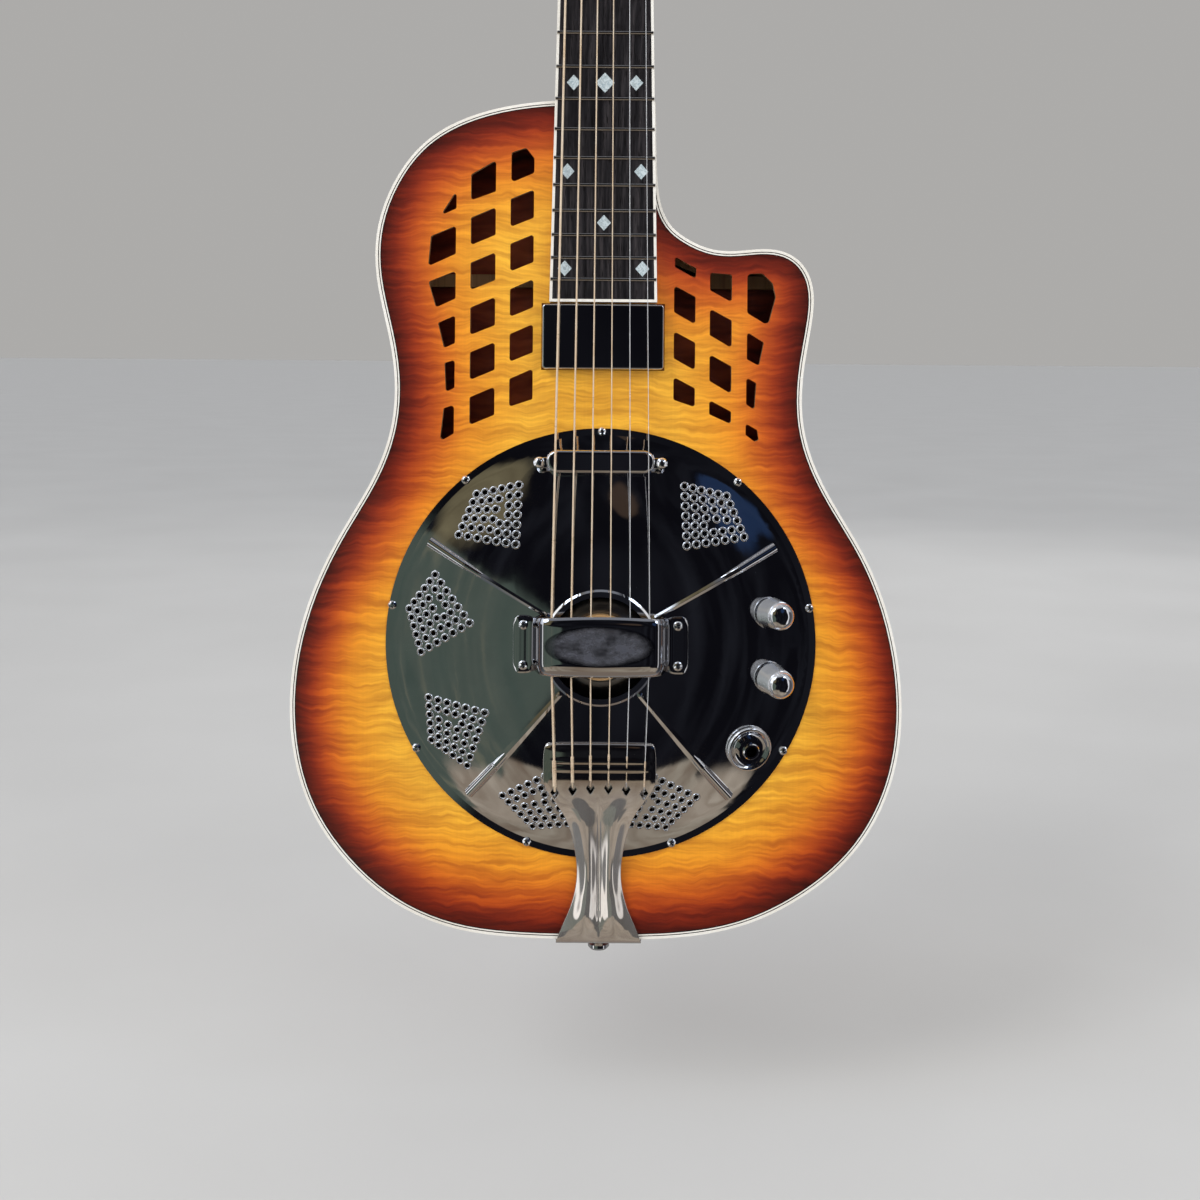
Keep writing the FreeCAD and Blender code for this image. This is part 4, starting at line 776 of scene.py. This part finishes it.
def fold_point(deg):
    """The surface of one raised fold: a low ridge that widens outwards and fades at its ends."""
    turn = Matrix.Rotation(math.radians(deg), 2)
    start, widening = (1.8, 1.8) if deg < 0 else (1.5, 0.6)

    def point(u, v):
        r = FOLD_FROM + (FOLD_TO - FOLD_FROM) * v
        across = 2 * u - 1
        grow = smoothstep(30, FOLD_TO, r)
        ends = smoothstep(FOLD_FROM - 1, FOLD_FROM + 3, r) * (1 - smoothstep(FOLD_TO - 9, FOLD_TO, r))
        rise = (0.95 + 0.25 * grow) * (1 - abs(across)) * ends - 0.12
        at, out = dome_at(turn @ Vector((r, (start + widening * grow) * across)))
        return at + out * rise * MM
    return point


for i, deg in enumerate(FOLD_ANGLES):
    piece("cover_fold_%d" % (i + 1), sheet_grid(24, 130, fold_point(deg)), "chrome_plate", "guitar")


# ------------------------------------------------------------------ pickups
def rounded_loop(x0, x1, z0, z1, radius, steps=10):
    """A rounded rectangle's outline, as a function of how far it is drawn in."""
    corners = ((x1 - radius, z1 - radius), (x0 + radius, z1 - radius), (x0 + radius, z0 + radius),
               (x1 - radius, z0 + radius))

    def loop(inset):
        r = max(0.05, radius - inset)
        angles = [math.pi / 2 * k / steps for k in range(steps + 1)]
        return [(cx + r * math.cos(a + i * math.pi / 2), cz + r * math.sin(a + i * math.pi / 2))
                for i, (cx, cz) in enumerate(corners) for a in angles]
    return loop


def stacked(bm, loop, layers):
    """Stacks an outline at (inset, height) layers, caps the top, and gives the rings."""
    rings = [[bm.verts.new(front(x, z, h)) for x, z in loop(inset)] for inset, h in layers]
    bridge(bm, rings)
    bm.faces.new(rings[-1])
    return rings


def rolled_edge(low, high, radius, steps):
    """Layers that rise straight and then roll over to a flat top."""
    layers = [(0.0, low), (0.0, low + 0.4), (0.0, high - radius - 0.2)]
    for k in range(steps + 1):
        a = math.pi / 2 * k / steps
        layers.append((radius * (1 - math.cos(a)), high - radius + radius * math.sin(a)))
    return layers + [(radius + 0.4, high)]


def case(name, loop, layers, replaces):
    """A pickup's metal case, smooth but for its flat top."""
    bm = bmesh.new()
    stacked(bm, loop, layers)
    obj = piece(name, bm, "chrome_plate", "guitar", [replaces])
    for face in obj.data.polygons:
        face.use_smooth = len(face.vertices) < 5


SLIM_X, SLIM_Z = -0.8, 106.6            # middle of the slim pickup's screws
EAR_X, EAR_LONG, EAR_RADIUS = 35.6, 9.0, 3.0
case("neck_pickup_case", rounded_loop(-35.6, 35.6, 160.9, 198.9, 2.2), rolled_edge(-5.0, 9.4, 1.3, 7),
     "neck_pickup_cover")
case("slim_pickup_case", rounded_loop(-32.4, 30.8, 100.7, 114.1, 6.65, 16), rolled_edge(8.6, 14.0, 2.2, 10),
     "slim_pickup_cover")
bm = bmesh.new()
for side in (-1, 1):
    tip = SLIM_X + side * EAR_X
    root = tip - side * EAR_LONG
    ear = rounded_loop(min(tip, root) - EAR_RADIUS, max(tip, root) + EAR_RADIUS, SLIM_Z - EAR_RADIUS,
                       SLIM_Z + EAR_RADIUS, EAR_RADIUS)
    rings = stacked(bm, ear, ((0.0, 10.0), (0.0, 11.1), (0.25, 11.45), (0.6, 11.5)))
    bm.faces.new(rings[0][::-1])
piece("slim_pickup_ears", bm, "chrome_plate", "guitar", smooth=False)

# ------------------------------------------------------------------ jack cup
JACK_RISE = 3.0
CUP = sampled([(5.0, 1.35), (8.6, 1.35), (9.8, 1.7), (11.4, 3.1), (12.2, 3.5), (13.0, 3.1), (13.4, 2.2),
               (13.4, 1.0), (13.0, 0.6), (12.2, 0.4), (11.6, 1.0), (9.6, 0.5), (5.0, 0.4)], 0.25)
jack = next(m for m in RECORD["mounts"] if m["name"] == "output_jack_bore")
jack_axis = Vector(jack["axis"])
jack_base = Vector(jack["pos_m"]) + jack_axis * JACK_RISE * MM
lathe("jack_ring", CUP, jack_base, jack_axis, "bright_chrome", "guitar", ["jack_cup"])

# ------------------------------------------------------------------ string ends
TWIST_LENGTH = 15.0
TWIST_STEPS = 16
SADDLE_HEIGHT, SADDLE_SPREAD = 21.4, 56.8
bm = bmesh.new()
for i, (x, z, r) in enumerate(ANCHORS):
    start = front(x, z + 2.2, 17.0 + r)
    end = front((i - 2.5) / 5.0 * SADDLE_SPREAD, 1.0, SADDLE_HEIGHT + r)
    along = (end - start).normalized()
    side = along.cross(Vector((0, 1, 0))).normalized()
    up = side.cross(along)
    count = int(TWIST_LENGTH / (1.1 + 1.2 * r) * TWIST_STEPS)
    tube = (0.16 + 0.35 * r) * MM
    for phase in (0.0, math.pi):
        rings = []
        for k in range(count + 1):
            a = 2 * math.pi * k / TWIST_STEPS + phase
            out = side * math.cos(a) + up * math.sin(a)
            centre = start + along * (TWIST_LENGTH * MM * k / count) + out * (r * MM + tube * 0.55)
            rings.append([bm.verts.new(centre + (out * math.cos(b) + along * math.sin(b)) * tube)
                          for b in turn_steps(6)])
        bridge(bm, rings)
        bm.faces.new(rings[0])
        bm.faces.new(rings[-1][::-1])
piece("string_end_twists", bm, "bronze_wound", "guitar")

# ------------------------------------------------------------------ floor and lamps
FLOOR_Z = -0.305


def floor_pale():
    n = material("floor_pale", Roughness=0.75)
    cloud = n.noise(n.place((3, 3, 3)), detail=4.0)
    finish_with(n, n.ramp(cloud, [(0.3, (0.63, 0.62, 0.60)), (0.7, (0.66, 0.65, 0.63))]),
                n.span(cloud, 0, 1, 0.6, 0.85))


floor_pale()
bm = bmesh.new()
bmesh.ops.create_grid(bm, x_segments=8, y_segments=8, size=60.0)
mesh = bpy.data.meshes.new("floor")
bm.to_mesh(mesh)
bm.free()
floor = bpy.data.objects.new("floor", mesh)
floor.location = (0, 0, FLOOR_Z)
floor.visible_glossy = False
scene.collection.objects.link(floor)
mesh.materials.append(MATS["floor_pale"])


def softbox(name, at, target, size, power):
    data = bpy.data.lights.new(name, "AREA")
    data.shape, data.size, data.energy = "SQUARE", size, power
    lamp = bpy.data.objects.new(name, data)
    lamp.location = at
    lamp.rotation_euler = (Vector(target) - Vector(at)).to_track_quat("-Z", "Y").to_euler()
    lamp.visible_glossy = lamp.visible_camera = False
    scene.collection.objects.link(lamp)


softbox("key", (-1.7, -2.2, 1.9), (0, 0, 0.1), 1.0, 34)
softbox("fill", (1.9, -2.2, 1.0), (0, 0, 0.1), 1.4, 15)
softbox("front", (0.0, -3.2, 0.9), (0, 0, 0.1), 2.0, 20)
softbox("back", (0.8, 2.6, 1.6), (0, 0, 0.2), 2.0, 12)

# ------------------------------------------------------------------ room seen in the metal
# Angles are in degrees: azim from the front towards +X, elev upwards, aside either way from the front.
world = bpy.data.worlds.new("studio")
scene.world = world
world.use_nodes = True
world.node_tree.nodes.clear()
w = Nodes(world.node_tree)
DEGREE = 180 / math.pi

direction = w.add("ShaderNodeTexCoord").outputs["Generated"]
dx, dy, dz = w.split(direction)
wobble = w.swing(w.noise(direction, 5.0, 2.0), 2.0)
ahead = w.math("MULTIPLY", dy, -1.0)
azim = w.math("ADD", w.math("MULTIPLY", w.math("ARCTAN2", dx, ahead), DEGREE), wobble)
elev = w.math("ADD", w.math("MULTIPLY", w.math("ARCSINE", dz), DEGREE), wobble)
aside = w.math("ABSOLUTE", azim)


def region(*edges):
    """1 inside all edges, each given as (value, where it is 0, where it is 1)."""
    out = 1.0
    for value, off, on in edges:
        out = w.math("MULTIPLY", out, w.span(value, off, on, smooth=True))
    return out


def glow(at_azim, at_elev, wide, high, strength=1.0):
    """A soft oval patch."""
    u = w.math("DIVIDE", w.math("SUBTRACT", azim, at_azim), wide)
    v = w.math("DIVIDE", w.math("SUBTRACT", elev, at_elev), high)
    return w.math("MULTIPLY", w.span(w.squares(u, v), 1.0, 0.55, smooth=True), strength)


streaks = w.noise(w.stretch((azim, 0.16), (elev, 0.04), 0.0), 1.0, 2.0)


def streaked(*stops):
    return w.ramp(streaks, [(at, srgb(*levels)) for at, levels in stops])


over_left_fold = w.math("SUBTRACT", elev, w.math("MULTIPLY_ADD", azim, -0.586, -10.3))
over_low_folds = w.math("SUBTRACT", elev, w.math("MULTIPLY_ADD", aside, -1.13, -10.2))
LAMPS = w.math("MAXIMUM", glow(-50.0, 46.0, 16.0, 14.0), glow(52.0, 40.0, 9.0, 9.0))
ROOM = (
    # green grey wall on the left, brown one above it, planks below
    (region((azim, -3.6, -4.6), (over_left_fold, 0.6, -0.6), (over_low_folds, -0.8, 0.8)),
     streaked((0.3, (70, 82, 76)), (0.55, (80, 89, 82)), (0.75, (112, 112, 96)))),
    (region((azim, -17.0, -23.0), (elev, 8.0, 15.0)), streaked((0.3, (84, 76, 58)), (0.7, (116, 108, 84)))),
    (region((over_low_folds, 0.6, -0.6), (elev, -29.0, -31.0)),
     streaked((0.3, (112, 97, 84)), (0.7, (158, 150, 136)))),
    # faint blue and brown patches in the dark middle
    (glow(33.0, 24.0, 9.0, 16.0, 0.5), srgb(44, 66, 104)),
    (glow(4.0, 17.0, 3.0, 9.0, 0.5), srgb(86, 70, 58)),
    # planks low on both sides
    (region((aside, 22.0, 28.0), (elev, -35.0, -40.0)),
     streaked((0.3, (128, 114, 100)), (0.7, (176, 166, 152)))),
    # room far to the left and to the right, brighter higher up
    (region((azim, -56.0, -62.0)), (0.10, 0.11, 0.12)),
    (region((azim, -54.0, -62.0), (elev, 6.0, 14.0)), (1.35, 1.45, 1.6)),
    (region((azim, 58.0, 66.0)), (0.08, 0.08, 0.09)),
    (region((azim, 58.0, 66.0), (elev, 10.0, 18.0)), (0.5, 0.52, 0.56)),
    (region((elev, 48.0, 56.0)), (0.20, 0.21, 0.24)),
    # two low strips that light the tailpiece's flutes
    (region((azim, -51.0, -54.0), (azim, -64.0, -60.0), (elev, -36.0, -32.0)), (1.1, 1.1, 1.1)),
    (region((azim, 52.0, 55.0), (azim, 64.0, 60.0), (elev, -36.0, -32.0)), (0.8, 0.8, 0.82)),
    (LAMPS, (3.0, 3.4, 4.0)),
    # straight down, and behind the guitar
    (region((elev, -60.0, -66.0)), srgb(120, 108, 98)),
    (region((ahead, 0.06, -0.06)), (0.20, 0.195, 0.19)),
)
room = w.mix(w.span(streaks, 0.45, 0.8), (0.004, 0.004, 0.006), (0.014, 0.015, 0.020))
for mask, shade in ROOM:
    room = w.mix(mask, room, shade)


def backdrop(color):
    return w.filled("ShaderNodeBackground", (color,)).outputs[0]


def pick(choice, otherwise, chosen):
    """One shader, or another where the choice is 1."""
    return w.filled("ShaderNodeMixShader", (choice, otherwise, chosen)).outputs[0]


PALE_WALL = (0.415, 0.408, 0.398)
EVEN_LIGHT = (0.62, 0.62, 0.63)
path = w.add("ShaderNodeLightPath")
for_rays = pick(path.outputs["Is Diffuse Ray"], backdrop(room), backdrop(EVEN_LIGHT))
surface = pick(path.outputs["Is Camera Ray"], for_rays, backdrop(PALE_WALL))
w.put(w.add("ShaderNodeOutputWorld").inputs["Surface"], surface)
scene.view_settings.view_transform = "Standard"
